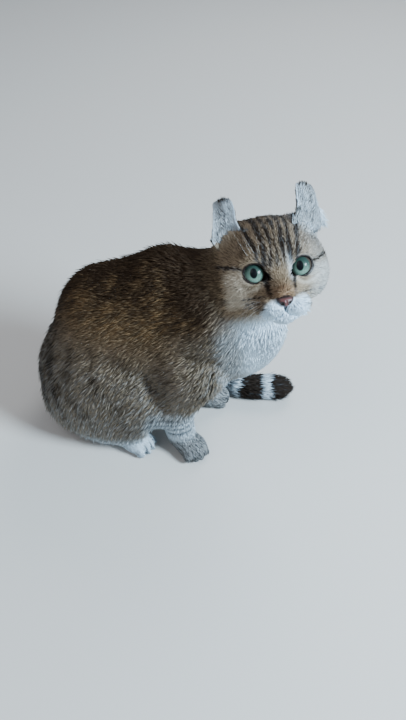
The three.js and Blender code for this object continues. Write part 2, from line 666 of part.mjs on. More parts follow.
function tailParts() {
  const tops = TAIL.map(({ at, radius }) => [at, radius]);
  const low = [0, 1, 2].map((n) => Math.min(...tops.map(([at, r]) => at[n] - r)));
  const high = [0, 1, 2].map((n) => Math.max(...tops.map(([at, r]) => at[n] + r)));
  const flesh = solidFromField(fleshField, low, high, CELL.tailCut, 3 * GAP);
  return TAIL_PARTS.map((part) => ({
    name: part.name,
    solid: largest(tailPart(part).subtract(flesh).subtract(FLOOR_CUT)),
  }));
}

// The cat, sub-part by sub-part
const cat = new THREE.Group();

function addMesh(name, solid, colour, roughness = 0.85) {
  const { vertProperties, triVerts, numProp } = solid.getMesh();
  const geometry = new THREE.BufferGeometry();
  const count = vertProperties.length / numProp;
  const positions = new Float32Array(3 * count);
  for (let i = 0; i < count; i++) positions.set(vertProperties.subarray(i * numProp, i * numProp + 3), 3 * i);
  geometry.setAttribute('position', new THREE.BufferAttribute(positions, 3));
  geometry.setIndex(Array.from(triVerts));
  geometry.computeVertexNormals();
  const material = new THREE.MeshStandardMaterial({ color: colour, roughness, metalness: 0 });
  const mesh = new THREE.Mesh(geometry, material);
  mesh.name = name;
  cat.add(mesh);
}

const pawCuts = SIDES.flatMap((side) => [frontPawCut(side), hindPawCut(side)]);
const legCuts = SIDES.flatMap((side) => [forelegCut(side), hindLegCut(side)]);

addMesh('head', head(), COLOURS.head);
addMesh('neck', fleshPart(neckCut, [headCut], CELL.neck), COLOURS.neck);
for (const side of SIDES) {
  addMesh(`front_paw_${side.name}`, fleshPart(frontPawCut(side), [], CELL.paw), COLOURS.front_paw);
  addMesh(`hind_paw_${side.name}`, fleshPart(hindPawCut(side), [], CELL.paw), COLOURS.hind_paw);
}
for (const side of SIDES) {
  const leg = fleshPart(forelegCut(side), [...pawCuts, neckCut], CELL.leg);
  addMesh(`front_leg_${side.name}`, leg, COLOURS.front_leg);
  const haunch = fleshPart(hindLegCut(side), [...pawCuts, forelegCut(side)], CELL.leg);
  addMesh(`hind_leg_${side.name}`, haunch, COLOURS.hind_leg);
}
const everywhere = (grow) => ball([0, 0, 130], [260 + grow, 200 + grow, 260 + grow], 0, 0, 12, 8);
const torso = fleshPart(everywhere, [headCut, neckCut, ...pawCuts, ...legCuts], CELL.torso);
addMesh('torso', torso, COLOURS.torso);

for (const { name, solid } of tailParts()) addMesh(name, solid, COLOURS.tail);

const headReach = HEAD_CUT.radii[0] + 5;
const headLow = HEAD.centre.map((v) => v - headReach);
const headHigh = HEAD.centre.map((v) => v + headReach);
const headKeep = solidFromField(fleshField, headLow, headHigh, CELL.head, 2 * GAP);
for (const side of SIDES) {
  const whole = earLocks(side).reduce((solid, lock) => solid.add(lock), ear(side));
  addMesh(`ear_${side.name}`, largest(whole.subtract(headKeep)), COLOURS.ear);
  addMesh(`eye_${side.name}`, eyeball(side, 0), EYE_COLOUR, 0.08);
}
const nose = SIDES.reduce((solid, side) => solid.subtract(nostril(side)), noseLeather(0));
addMesh('nose', largest(nose), COLOURS.nose, 0.45);

// The origin is the bottom centre of the whole
const bounds = new THREE.Box3().setFromObject(cat);
const middle = bounds.getCenter(new THREE.Vector3());
cat.position.set(-middle.x, -middle.y, -bounds.min.z);

export default cat;
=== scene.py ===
"""A short-coated brown tabby cat with ears that curl backward, crouched and looking up.

Lengths inside the builders are millimetres in the cat's own frame: +X towards its chest, +Y to
its left, +Z up, with z = 0 at the floor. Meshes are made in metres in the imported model's frame.
The flesh is a smooth field of ellipsoids and tapered capsules, as in the solids. The skin is
that field drawn in by the depth of the coat, and the coat is made of thin closed tufts.
"""
from __future__ import annotations

import logging
import math
from dataclasses import dataclass, field
from enum import Enum
from typing import Any, Callable, Iterable, Sequence

import bpy
import numpy as np
from mathutils import Matrix, Vector

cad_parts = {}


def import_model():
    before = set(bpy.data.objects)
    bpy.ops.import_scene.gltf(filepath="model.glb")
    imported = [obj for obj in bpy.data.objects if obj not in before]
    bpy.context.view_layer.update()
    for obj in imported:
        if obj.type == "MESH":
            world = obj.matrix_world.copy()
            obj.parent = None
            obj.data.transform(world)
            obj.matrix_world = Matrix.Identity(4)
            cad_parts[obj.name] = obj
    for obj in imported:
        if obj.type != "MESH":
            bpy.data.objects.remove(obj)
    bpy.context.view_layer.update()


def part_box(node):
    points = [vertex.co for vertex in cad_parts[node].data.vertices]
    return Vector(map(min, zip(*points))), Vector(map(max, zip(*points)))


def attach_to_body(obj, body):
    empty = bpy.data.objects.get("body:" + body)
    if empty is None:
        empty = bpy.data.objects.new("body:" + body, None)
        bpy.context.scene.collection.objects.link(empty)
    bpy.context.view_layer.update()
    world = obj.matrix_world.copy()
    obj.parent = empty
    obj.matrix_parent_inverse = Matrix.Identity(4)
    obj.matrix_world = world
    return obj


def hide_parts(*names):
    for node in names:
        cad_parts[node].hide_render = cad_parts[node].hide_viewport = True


Array = np.ndarray
Pair = tuple[float, float]
Triple = tuple[float, float, float]
Colour = tuple[float, ...]
Near = dict[str, Array]
Shares = dict[str, Array]
Piece = bpy.types.Object
Finish = bpy.types.Material
log = logging.getLogger("cat")
MM = 0.001
BAKE_MAP = "OFBake"
SETTLING_STEPS = 3
SEEDS = {"face": 10, "head": 20, "neck": 100, "body": 140, "leg": 180, "paw": 220, "tail": 400,
         "whiskers": 77, "ears": 300, "variety": 1000}


class Side(Enum):
    """The cat's own left and right, with the sign of Y on each."""

    LEFT = 1
    RIGHT = -1

    @property
    def label(self) -> str:
        """The word that the solids use for this side."""
        return self.name.lower()

    def of(self, left: Any, right: Any) -> Any:
        """The one of two that belongs to this side."""
        return left if self is Side.LEFT else right


def vec(*values: float) -> Array:
    """A vector of floats."""
    return np.array(values, float)


def unit(rows: Array) -> Array:
    """Each row scaled to length one."""
    return rows / np.maximum(np.linalg.norm(rows, axis=-1, keepdims=True), 1e-12)


def smooth(low: float, high: float, value: Array) -> Array:
    """A soft step from 0 at low to 1 at high."""
    t = np.clip((value - low) / (high - low), 0, 1)
    return t * t * (3 - 2 * t)


def fall(low: float, high: float, value: Array) -> Array:
    """A soft step from 1 at low to 0 at high."""
    return 1 - smooth(low, high, value)


def columns(*values: Array) -> Array:
    """Arrays side by side, as the columns of one."""
    return np.stack(values, 1)


def hump(value: Array, middle: Any, width: float) -> Array:
    """A soft hump: 1 at the middle, and almost 0 from twice the width away."""
    return np.exp(-((value - middle) / width) ** 2)


def mixed(first: Any, second: Any, amount: Any) -> Any:
    """A blend of two values."""
    return first + (second - first) * amount


@dataclass(frozen=True)
class Frame:
    """A place with its forward, left and up directions as the rows of axes."""

    origin: Array
    axes: Array

    def into(self, points: Array) -> Array:
        """Points of the cat's frame seen in this one."""
        return (points - self.origin) @ self.axes.T

    def out_of(self, points: Array) -> Array:
        """Points of this frame seen in the cat's."""
        return self.origin + points @ self.axes

    def turn_out(self, directions: Array) -> Array:
        """Directions of this frame seen in the cat's."""
        return directions @ self.axes


def frame_at(origin: Array, forward: Array, up: Array) -> Frame:
    """A frame from its forward direction and a rough up.

    Args:
        origin: Where the frame sits.
        forward: Its forward direction.
        up: A direction near its up.

    Returns:
        The frame, with its axes square to each other.
    """
    x = unit(forward)
    z = unit(up - x * (up @ x))
    return Frame(origin, np.stack([x, np.cross(z, x), z]))


def turned(origin: Array, yaw: float = 0.0, pitch: float = 0.0) -> Frame:
    """A frame turned by yaw to the left and then by pitch, nose up, in degrees."""
    y, p = math.radians(yaw), math.radians(pitch)
    forward = vec(math.cos(y) * math.cos(p), math.sin(y) * math.cos(p), math.sin(p))
    up = vec(-math.cos(y) * math.sin(p), -math.sin(y) * math.sin(p), math.cos(p))
    return frame_at(origin, forward, up)


# Forms of the flesh


@dataclass(frozen=True)
class Ellipsoid:
    """A rounded mass that melts softly into those before it."""

    centre: Triple
    radii: Triple
    yaw: float = 0.0
    pitch: float = 0.0
    melt: float = 0.0

    def distance(self, points: Array) -> Array:
        """About how far each point lies outside, in millimetres."""
        q = turned(vec(*self.centre), self.yaw, self.pitch).into(points)
        radii = vec(*self.radii)
        a = np.linalg.norm(q / radii, axis=1)
        b = np.linalg.norm(q / radii ** 2, axis=1)
        return a * (a - 1) / np.maximum(b, 1e-9)

    def mirrored(self, side: Side) -> Ellipsoid:
        """The same mass on one side of the middle."""
        x, y, z = self.centre
        return Ellipsoid((x, y * side.value, z), self.radii, self.yaw, self.pitch, self.melt)


@dataclass(frozen=True)
class Capsule:
    """A tapered limb between two points."""

    start: Triple
    end: Triple
    radii: Pair
    melt: float = 0.0

    def distance(self, points: Array) -> Array:
        """How far each point lies outside, in millimetres."""
        start, axis = vec(*self.start), vec(*self.end) - vec(*self.start)
        h = np.clip((points - start) @ axis / (axis @ axis), 0, 1)
        reach = np.linalg.norm(points - start - h[:, None] * axis, axis=1)
        return reach - mixed(self.radii[0], self.radii[1], h)


def melt_in(base: Array, other: Array, melt: float) -> Array:
    """Joins two distances softly."""
    h = np.clip(0.5 + 0.5 * (other - base) / melt, 0, 1)
    return other + (base - other) * h - melt * h * (1 - h)


def carve(base: Array, other: Array, melt: float) -> Array:
    """Takes the second form out of the first, softly."""
    return -melt_in(-base, other, melt)


def melted(points: Array, forms: Sequence[Ellipsoid | Capsule]) -> Array:
    """The distance to forms that each melt into what came before."""
    total = forms[0].distance(points)
    for form in forms[1:]:
        total = melt_in(total, form.distance(points), form.melt)
    return total


def nearest_leg(near: Near) -> Array:
    """The distance to the nearest leg or foot."""
    return np.minimum.reduce([near[f"{limb}_{side.label}"] for limb in ("hind", "fore") for side in Side])


@dataclass(frozen=True)
class EyePlan:
    """One pair of eyes, in the head's frame."""

    radius: float = 11.0
    lid: float = 1.8
    melt: float = 5.0
    left: Triple = (23.0, 21.4, 1.4)
    right: Triple = (23.0, -20.6, 0.4)
    half_width: float = 9.2
    half_height: float = 7.9
    corner_lift: float = 0.12
    inner_point: float = 2.6
    inner_drop: float = 5.0
    back: float = 4.0

    def centre(self, side: Side) -> Array:
        """Where the eyeball's middle sits."""
        return vec(*side.of(self.left, self.right))

    def outline(self, side: Side, count: int) -> tuple[Array, Array, Array]:
        """The edge of the opening between the lids.

        Args:
            side: Which eye.
            count: How many points to give.

        Returns:
            Across and up of each point from the eye's middle, and how near it is to the inner corner.
        """
        turn = np.linspace(0, 2 * math.pi, count, endpoint=False)
        inner = np.maximum(-np.cos(turn), 0) ** 6
        across = self.half_width * np.cos(turn) - self.inner_point * inner
        rise = self.half_height * np.sin(turn) + self.corner_lift * across - self.inner_drop * inner
        return across * side.value, rise, inner

    def opening(self, points: Array, side: Side) -> Array:
        """How far points of the head's frame lie outside the opening between the lids."""
        q = points - self.centre(side)
        across, rise, _ = self.outline(side, 96)
        angles = np.arctan2(rise, across * side.value)
        order = np.argsort(angles)
        reach = np.hypot(across, rise)
        here = np.interp(np.arctan2(q[:, 2], q[:, 1] * side.value), angles[order], reach[order],
                         period=2 * math.pi)
        return (np.hypot(q[:, 1], q[:, 2]) / here - 1) * self.half_height


@dataclass(frozen=True)
class Skull:
    """The head's masses, its eyes and its mouth, in the head's frame: X is out of the face."""

    centre: Triple = (103.5, 3.3, 228.0)
    look_at: Triple = (200.4, -564.6, 633.0)
    turn: float = 9.75
    tilt: float = 11.75
    melt: float = 14.0
    cranium: Ellipsoid = Ellipsoid((-8, 0, 12), (46, 44, 39))
    ear_root: Ellipsoid = Ellipsoid((-12, 29, 32), (17, 17, 16), melt=14)
    cheek: Ellipsoid = Ellipsoid((-4, 30, -4), (32, 23, 28), melt=16)
    brow: Ellipsoid = Ellipsoid((17, 18, 16), (17, 16, 10), melt=10)
    jaw: Ellipsoid = Ellipsoid((8, -1, -25), (32, 28, 20), melt=14)
    bridge: Capsule = Capsule((15, 0, 8), (42, 0, -20), (14, 9), melt=12)
    pad: Ellipsoid = Ellipsoid((34, 11, -30.5), (15, 13.5, 10.5), melt=6)
    chin: Ellipsoid = Ellipsoid((30, 0, -39), (13, 11, 8), melt=6)
    mouth: tuple[Pair, ...] = (
        (0, -29), (0.3, -33.6), (3.5, -37), (9, -38.6), (15, -37.4), (20.5, -33.6))
    mouth_radius: float = 1.0

    def frame(self) -> Frame:
        """The head's frame, from where it looks, how far past that it is turned, and its tilt."""
        centre = vec(*self.centre)
        gaze = unit(vec(*self.look_at) - centre)
        level = unit(np.cross(vec(0, 0, 1), gaze))
        turn, tilt = math.radians(self.turn), math.radians(self.tilt)
        forward = gaze * math.cos(turn) + level * math.sin(turn)
        flat = unit(level - forward * (level @ forward))
        up = np.cross(forward, flat) * math.cos(tilt) - flat * math.sin(tilt)
        return frame_at(centre, forward, up)

    def distance(self, q: Array, eyes: EyePlan) -> Array:
        """About how far points of the head's frame lie outside the head's flesh and fur."""
        sides = [form.mirrored(side) for side in (Side.RIGHT, Side.LEFT)
                 for form in (self.ear_root, self.cheek, self.brow)]
        pads = [self.pad.mirrored(side) for side in (Side.LEFT, Side.RIGHT)]
        size = eyes.radius + eyes.lid
        balls = [Ellipsoid(tuple(eyes.centre(side)), (size,) * 3, melt=eyes.melt)
                 for side in (Side.LEFT, Side.RIGHT)]
        return melted(q, [self.cranium, *sides, self.jaw, self.bridge, *pads, self.chin, *balls])


@dataclass(frozen=True)
class TailPlan:
    """The tail's centre line on the floor and its radius out to the tips of the coat."""

    at: tuple[Triple, ...] = (
        (-112, 6, 30), (-130, 50, 20), (-94, 88, 16.5), (-40, 98, 15.5), (8, 86, 15),
        (42, 69, 14), (72, 67, 14), (100, 73, 14.5), (116, 77, 13.5))
    radius: tuple[float, ...] = (27, 21, 18, 17, 16.5, 15.5, 16.2, 16.6, 14.4)
    end_from: float = 0.92
    coat: float = 6.0
    steps: int = 96

    def samples(self) -> tuple[Array, Array]:
        """Points along the centre line and the radius at each."""
        knots = np.array(self.at, float)
        knots = np.vstack([2 * knots[0] - knots[1], knots, 2 * knots[-1] - knots[-2]])
        places = np.linspace(0, len(self.at) - 1, self.steps)
        rows = []
        for place in places:
            i = min(int(place), len(self.at) - 2)
            a, b, c, d = knots[i:i + 4]
            before, here, after = (math.sqrt(np.linalg.norm(q - p)) for p, q in ((a, b), (b, c), (c, d)))
            leave = ((b - a) / before - (c - a) / (before + here) + (c - b) / here) * here
            arrive = ((c - b) / here - (d - b) / (here + after) + (d - c) / after) * here
            t = place - i
            rows.append(b + leave * t + (3 * (c - b) - 2 * leave - arrive) * t ** 2
                        + (2 * (b - c) + leave + arrive) * t ** 3)
        radius = np.interp(places, np.arange(len(self.radius)), self.radius)
        rounding = np.maximum(0, (np.linspace(0, 1, self.steps) - self.end_from) / (1 - self.end_from))
        return np.array(rows), radius * np.sqrt(1.04 - rounding ** 2)

    def nearest(self, points: Array) -> tuple[Array, Array, Array]:
        """How far points lie outside the tail, their place along it and its direction there.

        Args:
            points: Points of the cat's frame.

        Returns:
            The distances, the places from 0 at its root to 1 at its tip, and the directions.
        """
        line, radius = self.samples()
        best = np.full(len(points), 1e9)
        place = np.zeros(len(points))
        index = np.zeros(len(points), int)
        for i in range(len(line) - 1):
            axis = line[i + 1] - line[i]
            h = np.clip((points - line[i]) @ axis / (axis @ axis), 0, 1)
            reach = np.linalg.norm(points - line[i] - h[:, None] * axis, axis=1)
            reach = reach - mixed(radius[i], radius[i + 1], h)
            nearer = reach < best
            best[nearer], place[nearer], index[nearer] = reach[nearer], i + h[nearer], i
        along = unit(np.diff(line, axis=0))
        return best, place / (len(line) - 1), along[index]


@dataclass(frozen=True)
class CoatDepth:
    """How deep the coat stands over the skin in each region."""

    body: float = 5.4
    leg: float = 4.4
    paw: float = 1.4
    crown: float = 3.4
    face: float = 1.1


@dataclass(frozen=True)
class Flesh:
    """The whole cat's flesh and fur as one field, with the same named sizes as the solids.

    An elbow is its x and height, a wrist its x and y, and the forearm's ends are how far ahead of
    the wrist they lie and how high.
    """

    trunk: tuple[Ellipsoid, ...] = (
        Ellipsoid((-84, 0, 66), (63, 60, 68)),
        Ellipsoid((-90, -16, 34), (47, 44, 36), melt=24),
        Ellipsoid((-49, 2, 122), (69, 57, 80), pitch=20, melt=30),
        Ellipsoid((6, 3, 152), (64, 52, 80), melt=34),
        Ellipsoid((44, 4, 158), (50, 46, 64), pitch=-20, melt=28),
        Ellipsoid((77, 8, 138), (41, 40, 54), pitch=-38, melt=22),
    )
    neck: Capsule = Capsule((52, 4, 180), (90, 14, 218), (48, 42), melt=20)
    thigh: Ellipsoid = Ellipsoid((-52, 46, 66), (64, 30, 58), pitch=25, melt=16)
    heel_left: Triple = (-70, 44, 18)
    heel_right: Triple = (-62, -38, 18)
    toe_left: Triple = (-26, 62, 12)
    toe_right: Triple = (-25, -47, 12)
    hind_radii: Pair = (16, 12)
    hind_ball: Triple = (17, 15, 12)
    hind_melt: float = 10.0
    shoulder: Triple = (34, 30, 112)
    elbow: Pair = (16, 60)
    arm_radii: Pair = (34, 20)
    forearm_top: Pair = (-5, 62)
    forearm_foot: Pair = (2, 20)
    forearm_radii: Pair = (20, 15.2)
    fore_melt: float = 16.0
    wrist_left: Pair = (30, 42)
    wrist_right: Pair = (22, -33)
    paw_left: Triple = (38, 44, 11)
    paw_right: Triple = (37, -38, 11)
    paw_yaw_left: float = 15
    paw_yaw_right: float = -45
    paw_radii: Triple = (19, 16, 13)
    toe_radii: Triple = (8.2, 4.7, 7.2)
    toe_ahead: float = 10.0
    toe_curve: float = 1.6
    toe_spread: float = 6.9
    toe_height: float = 7.6
    toe_fan: float = 10.0
    toe_melt: float = 2.2
    toe_count: int = 4
    face_reach: float = 20.0
    lid_melt: float = 0.6
    groove_melt: float = 0.7
    floor_gap: float = 0.4
    depth: CoatDepth = CoatDepth()
    skull: Skull = field(default_factory=Skull)
    eyes: EyePlan = field(default_factory=EyePlan)
    tail: TailPlan = field(default_factory=TailPlan)
    grooves: list[Capsule] = field(default_factory=list)

    def toes(self, centre: Array, yaw: float) -> list[Ellipsoid]:
        """A paw's toes as soft lobes at its front."""
        lobes = []
        for i in range(self.toe_count):
            step = i - (self.toe_count - 1) / 2
            local = vec(self.toe_ahead - self.toe_curve * step * step, step * self.toe_spread, 0)
            at = turned(centre, yaw).out_of(local)
            lobes.append(Ellipsoid((at[0], at[1], self.toe_height), self.toe_radii,
                                   yaw + step * self.toe_fan, melt=self.toe_melt))
        return lobes

    def hind_foot(self, side: Side) -> tuple[list[Ellipsoid | Capsule], float]:
        """The forms of a hind foot and the yaw that its toes point along."""
        heel = side.of(self.heel_left, self.heel_right)
        toe = side.of(self.toe_left, self.toe_right)
        yaw = math.degrees(math.atan2(toe[1] - heel[1], toe[0] - heel[0]))
        centre = vec(toe[0] + 4, toe[1], toe[2] - 1)
        forms = [Capsule(heel, toe, self.hind_radii), Ellipsoid(tuple(centre), self.hind_ball, melt=8)]
        return forms + self.toes(centre, yaw), yaw

    def foreleg(self, side: Side) -> tuple[list[Ellipsoid | Capsule], float]:
        """The forms of a foreleg with its paw and the yaw that its toes point along.

        Args:
            side: Which one.

        Returns:
            The forms in the order that they melt, and the yaw in degrees.
        """
        wx, wy = side.of(self.wrist_left, self.wrist_right)
        centre = side.of(self.paw_left, self.paw_right)
        yaw = side.of(self.paw_yaw_left, self.paw_yaw_right)
        top = (self.shoulder[0], self.shoulder[1] * side.value, self.shoulder[2])
        high, low = ((wx + ahead, wy, height) for ahead, height in (self.forearm_top, self.forearm_foot))
        forms = [Capsule(top, (self.elbow[0], wy, self.elbow[1]), self.arm_radii),
                 Capsule(high, low, self.forearm_radii, melt=12),
                 Ellipsoid(centre, self.paw_radii, yaw, melt=7)]
        return forms + self.toes(vec(*centre), yaw), yaw

    def parts(self, points: Array) -> Near:
        """The distance to each main part."""
        near = {"trunk": melted(points, self.trunk), "neck": self.neck.distance(points)}
        for side in (Side.RIGHT, Side.LEFT):
            near[f"thigh_{side.label}"] = self.thigh.mirrored(side).distance(points)
            near[f"hind_{side.label}"] = melted(points, self.hind_foot(side)[0])
            near[f"fore_{side.label}"] = melted(points, self.foreleg(side)[0])
        near["head"] = self.skull.distance(self.in_head(points), self.eyes)
        return near

    def whole(self, near: Near) -> Array:
        """All the parts melted into one."""
        total = melt_in(near["trunk"], near["neck"], self.neck.melt)
        for side in (Side.RIGHT, Side.LEFT):
            total = melt_in(total, near[f"thigh_{side.label}"], self.thigh.melt)
            total = melt_in(total, near[f"hind_{side.label}"], self.hind_melt)
            total = melt_in(total, near[f"fore_{side.label}"], self.fore_melt)
        return melt_in(total, near["head"], self.skull.melt)

    def coat_depth(self, points: Array, near: Near) -> Array:
        """How deep the coat stands over the skin.

        Args:
            points: Points of the cat's frame.
            near: The distance to each main part.

        Returns:
            The depths in millimetres.
        """
        q, depth = self.in_head(points), self.depth
        low = mixed(depth.paw, depth.leg, smooth(12, 80, points[:, 2]))
        body = mixed(depth.body, low, fall(0, 12, nearest_leg(near)))
        face = smooth(2, 30, q[:, 0]) * fall(24, 46, np.abs(q[:, 1]))
        return mixed(body, mixed(depth.crown, depth.face, face), fall(-2, 16, near["head"]))

    def in_head(self, points: Array) -> Array:
        """Points of the cat's frame seen in the head's."""
        return self.skull.frame().into(points)

    def skin(self, points: Array) -> Array:
        """The distance to the skin under the coat, its mouth and eye openings cut."""
        near = self.parts(points)
        total = self.whole(near) + self.coat_depth(points, near)
        close = near["head"] < self.face_reach
        if close.any():
            inner, face = total[close], self.in_head(points)[close]
            for side in Side:
                deep = self.eyes.back - (face - self.eyes.centre(side))[:, 0]
                inner = carve(inner, np.maximum(self.eyes.opening(face, side), deep), self.lid_melt)
            for groove in self.grooves:
                inner = carve(inner, groove.distance(face), self.groove_melt)
            total[close] = inner
        return np.maximum(total, self.floor_gap - points[:, 2])

    def tail_skin(self, points: Array) -> Array:
        """The distance to the tail's skin under its coat."""
        return np.maximum(self.tail.nearest(points)[0] + self.tail.coat, self.floor_gap - points[:, 2])


# Meshing a field


@dataclass
class Surface:
    """A closed mesh in millimetres, with a normal at each point."""

    points: Array
    quads: Array
    normals: Array

    def triangles(self) -> Array:
        """The faces as triangles."""
        return np.vstack([self.quads[:, [0, 1, 2]], self.quads[:, [0, 2, 3]]])


def sampled(distance: Callable[[Array], Array], low: Array, counts: Array, cell: float) -> Array:
    """The field on a lattice, worked out point by point only near the surface.

    Args:
        distance: The field.
        low: The lattice's first point.
        counts: How many points it has each way.
        cell: Its spacing.

    Returns:
        The field on the whole lattice, exact near the surface and rough away from it.
    """
    stride, reach = 4, 4.2
    coarse = [np.arange(0, n + stride, stride) for n in counts]
    spots = np.stack(np.meshgrid(*coarse, indexing="ij"), -1).reshape(-1, 3)
    rough = distance(low + cell * spots).reshape([len(c) for c in coarse])
    index = [np.minimum((np.arange(n) + stride // 2) // stride, len(c) - 1) for n, c in zip(counts, coarse)]
    values = rough[np.ix_(*index)].copy()
    close = np.abs(values) < reach * cell
    values[close] = distance(low + cell * np.argwhere(close))
    return values


def surface_of(distance: Callable[[Array], Array], low: Iterable[float], high: Iterable[float],
               cell: float) -> Surface:
    """The zero surface of a field, as even quads with their points drawn onto it.

    Args:
        distance: The field, negative inside.
        low: The lowest corner of the box to search.
        high: Its highest corner.
        cell: The size of a quad.

    Returns:
        The surface.
    """
    low, high = vec(*low), vec(*high)
    counts = np.ceil((high - low) / cell).astype(int) + 1
    values = sampled(distance, low, counts, cell)
    inside = values < 0
    strides = np.array([counts[1] * counts[2], counts[2], 1])
    keys, spots, quads = [], [], []
    for axis in range(3):
        ahead = [slice(None)] * 3
        behind = [slice(None)] * 3
        ahead[axis], behind[axis] = slice(1, None), slice(None, -1)
        edges = np.argwhere(inside[tuple(ahead)] != inside[tuple(behind)])
        edges = edges[(edges > 0).all(1) & (edges < counts - 2).all(1)]
        step = np.eye(3, dtype=int)[axis]
        first, last = values[tuple(edges.T)], values[tuple((edges + step).T)]
        place = edges + step * (first / (first - last))[:, None]
        u, v = np.eye(3, dtype=int)[(axis + 1) % 3], np.eye(3, dtype=int)[(axis + 2) % 3]
        around = [edges - a * u - b * v for a, b in ((0, 0), (1, 0), (1, 1), (0, 1))]
        around = np.stack([corner @ strides for corner in around], 1)
        quads.append(np.where((first < 0)[:, None], around, around[:, ::-1]))
        keys.append(around.ravel())
        spots.append(np.repeat(place, 4, axis=0))
    keys, spots, quads = np.concatenate(keys), np.vstack(spots), np.vstack(quads)
    cells, index = np.unique(keys, return_inverse=True)
    index = index.ravel()
    count = np.bincount(index)
    points = np.stack([np.bincount(index, spots[:, n]) / count for n in range(3)], 1)
    points = low + cell * points
    quads = np.searchsorted(cells, quads)
    for _ in range(SETTLING_STEPS):
        slope = gradient(distance, points, 0.2 * cell)
        step = distance(points) / np.maximum((slope ** 2).sum(1), 0.25)
        points = points - slope * np.clip(step, -0.5 * cell, 0.5 * cell)[:, None]
    return Surface(points, quads, unit(gradient(distance, points, 0.4 * cell)))


def gradient(distance: Callable[[Array], Array], points: Array, reach: float) -> Array:
    """The field's slope at each point."""
    steps = np.eye(3) * reach
    return np.stack([(distance(points + s) - distance(points - s)) / (2 * reach) for s in steps], 1)


def without(surface: Surface, drop: Array) -> Surface:
    """A surface less the quads that touch any dropped point."""
    quads = surface.quads[~drop[surface.quads].any(1)]
    used = np.unique(quads)
    renamed = np.full(len(surface.points), -1)
    renamed[used] = np.arange(len(used))
    return Surface(surface.points[used], renamed[quads], surface.normals[used])


def joined(surfaces: Sequence[Surface]) -> Surface:
    """Several surfaces as one."""
    starts = np.cumsum([0] + [len(s.points) for s in surfaces[:-1]])
    return Surface(np.vstack([s.points for s in surfaces]),
                   np.vstack([s.quads + start for s, start in zip(surfaces, starts)]),
                   np.vstack([s.normals for s in surfaces]))


@dataclass
class Bench:
    """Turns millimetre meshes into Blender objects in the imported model's frame."""

    shift: Array

    def place(self, points: Array) -> Array:
        """Points of the cat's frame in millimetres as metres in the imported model's."""
        return (points + self.shift) * MM

    def mesh(self, name: str, points: Array, faces: Array) -> Piece:
        """A smoothly shaded mesh from points and faces that all have the same number of corners.

        Args:
            name: The piece's name.
            points: Its vertices in millimetres.
            faces: Rows of vertex numbers.

        Returns:
            The new object, linked to the scene.
        """
        mesh = bpy.data.meshes.new(name)
        corners = faces.shape[1]
        mesh.vertices.add(len(points))
        mesh.vertices.foreach_set("co", self.place(points).astype(np.float32).ravel())
        mesh.loops.add(faces.size)
        mesh.loops.foreach_set("vertex_index", faces.astype(np.int32).ravel())
        mesh.polygons.add(len(faces))
        mesh.polygons.foreach_set("loop_start", np.arange(0, faces.size, corners, dtype=np.int32))
        mesh.polygons.foreach_set("use_smooth", np.full(len(faces), True))
        mesh.update()
        piece = bpy.data.objects.new(name, mesh)
        bpy.context.scene.collection.objects.link(piece)
        return piece


def attach(piece: Piece, name: str, rows: Array) -> None:
    """Stores a vector at each vertex of a piece under a name that its finish reads."""
    layer = piece.data.attributes.new(name, "FLOAT_VECTOR", "POINT")
    layer.data.foreach_set("vector", rows.astype(np.float32).ravel())


def finish_piece(piece: Piece, material: Finish, slot: str, *replaced: str) -> Piece:
    """Dresses a piece, hangs it on the root and hides the solids that it stands for.

    Args:
        piece: The piece.
        material: Its finish.
        slot: Not used.
        replaced: The nodes of the solids.

    Returns:
        The same piece.
    """
    piece.data.materials.append(material)
    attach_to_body(piece, "root")
    if replaced:
        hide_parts(*replaced)
    log.info("%s: %d faces", piece.name, len(piece.data.polygons))
    return piece


# Markings and painted shade


@dataclass(frozen=True)
class Ripple:
    """Smooth noise made of a few slow waves in seeded directions."""

    size: float
    seed: int
    waves: int = 9

    def at(self, points: Array) -> Array:
        """Noise between about -1 and 1 at each point."""
        draw = np.random.default_rng(self.seed)
        ways = unit(draw.normal(size=(self.waves, 3))) * draw.uniform(0.6, 1.5, (self.waves, 1))
        phases = draw.uniform(0, 2 * math.pi, self.waves)
        waves = np.sin(points @ ways.T * (2 * math.pi / self.size) + phases)
        return waves.sum(1) / math.sqrt(self.waves) * 0.9


def cold_shares(dark: Array, pale: Array) -> Shares:
    """Shares of dark and pale with hardly any warmth and no red."""
    return {"dark": dark, "pale": pale, "warm": np.full(len(dark), 0.05), "red": np.zeros(len(dark))}


def store_shares(piece: Piece, shares: Shares, first: Array, second: Array) -> None:
    """Stores the shares on a piece's vertices, and two numbers of the piece's own beside the red."""
    attach(piece, "shares", columns(shares["dark"], shares["pale"], shares["warm"]))
    attach(piece, "hair", columns(first, second, shares["red"]))


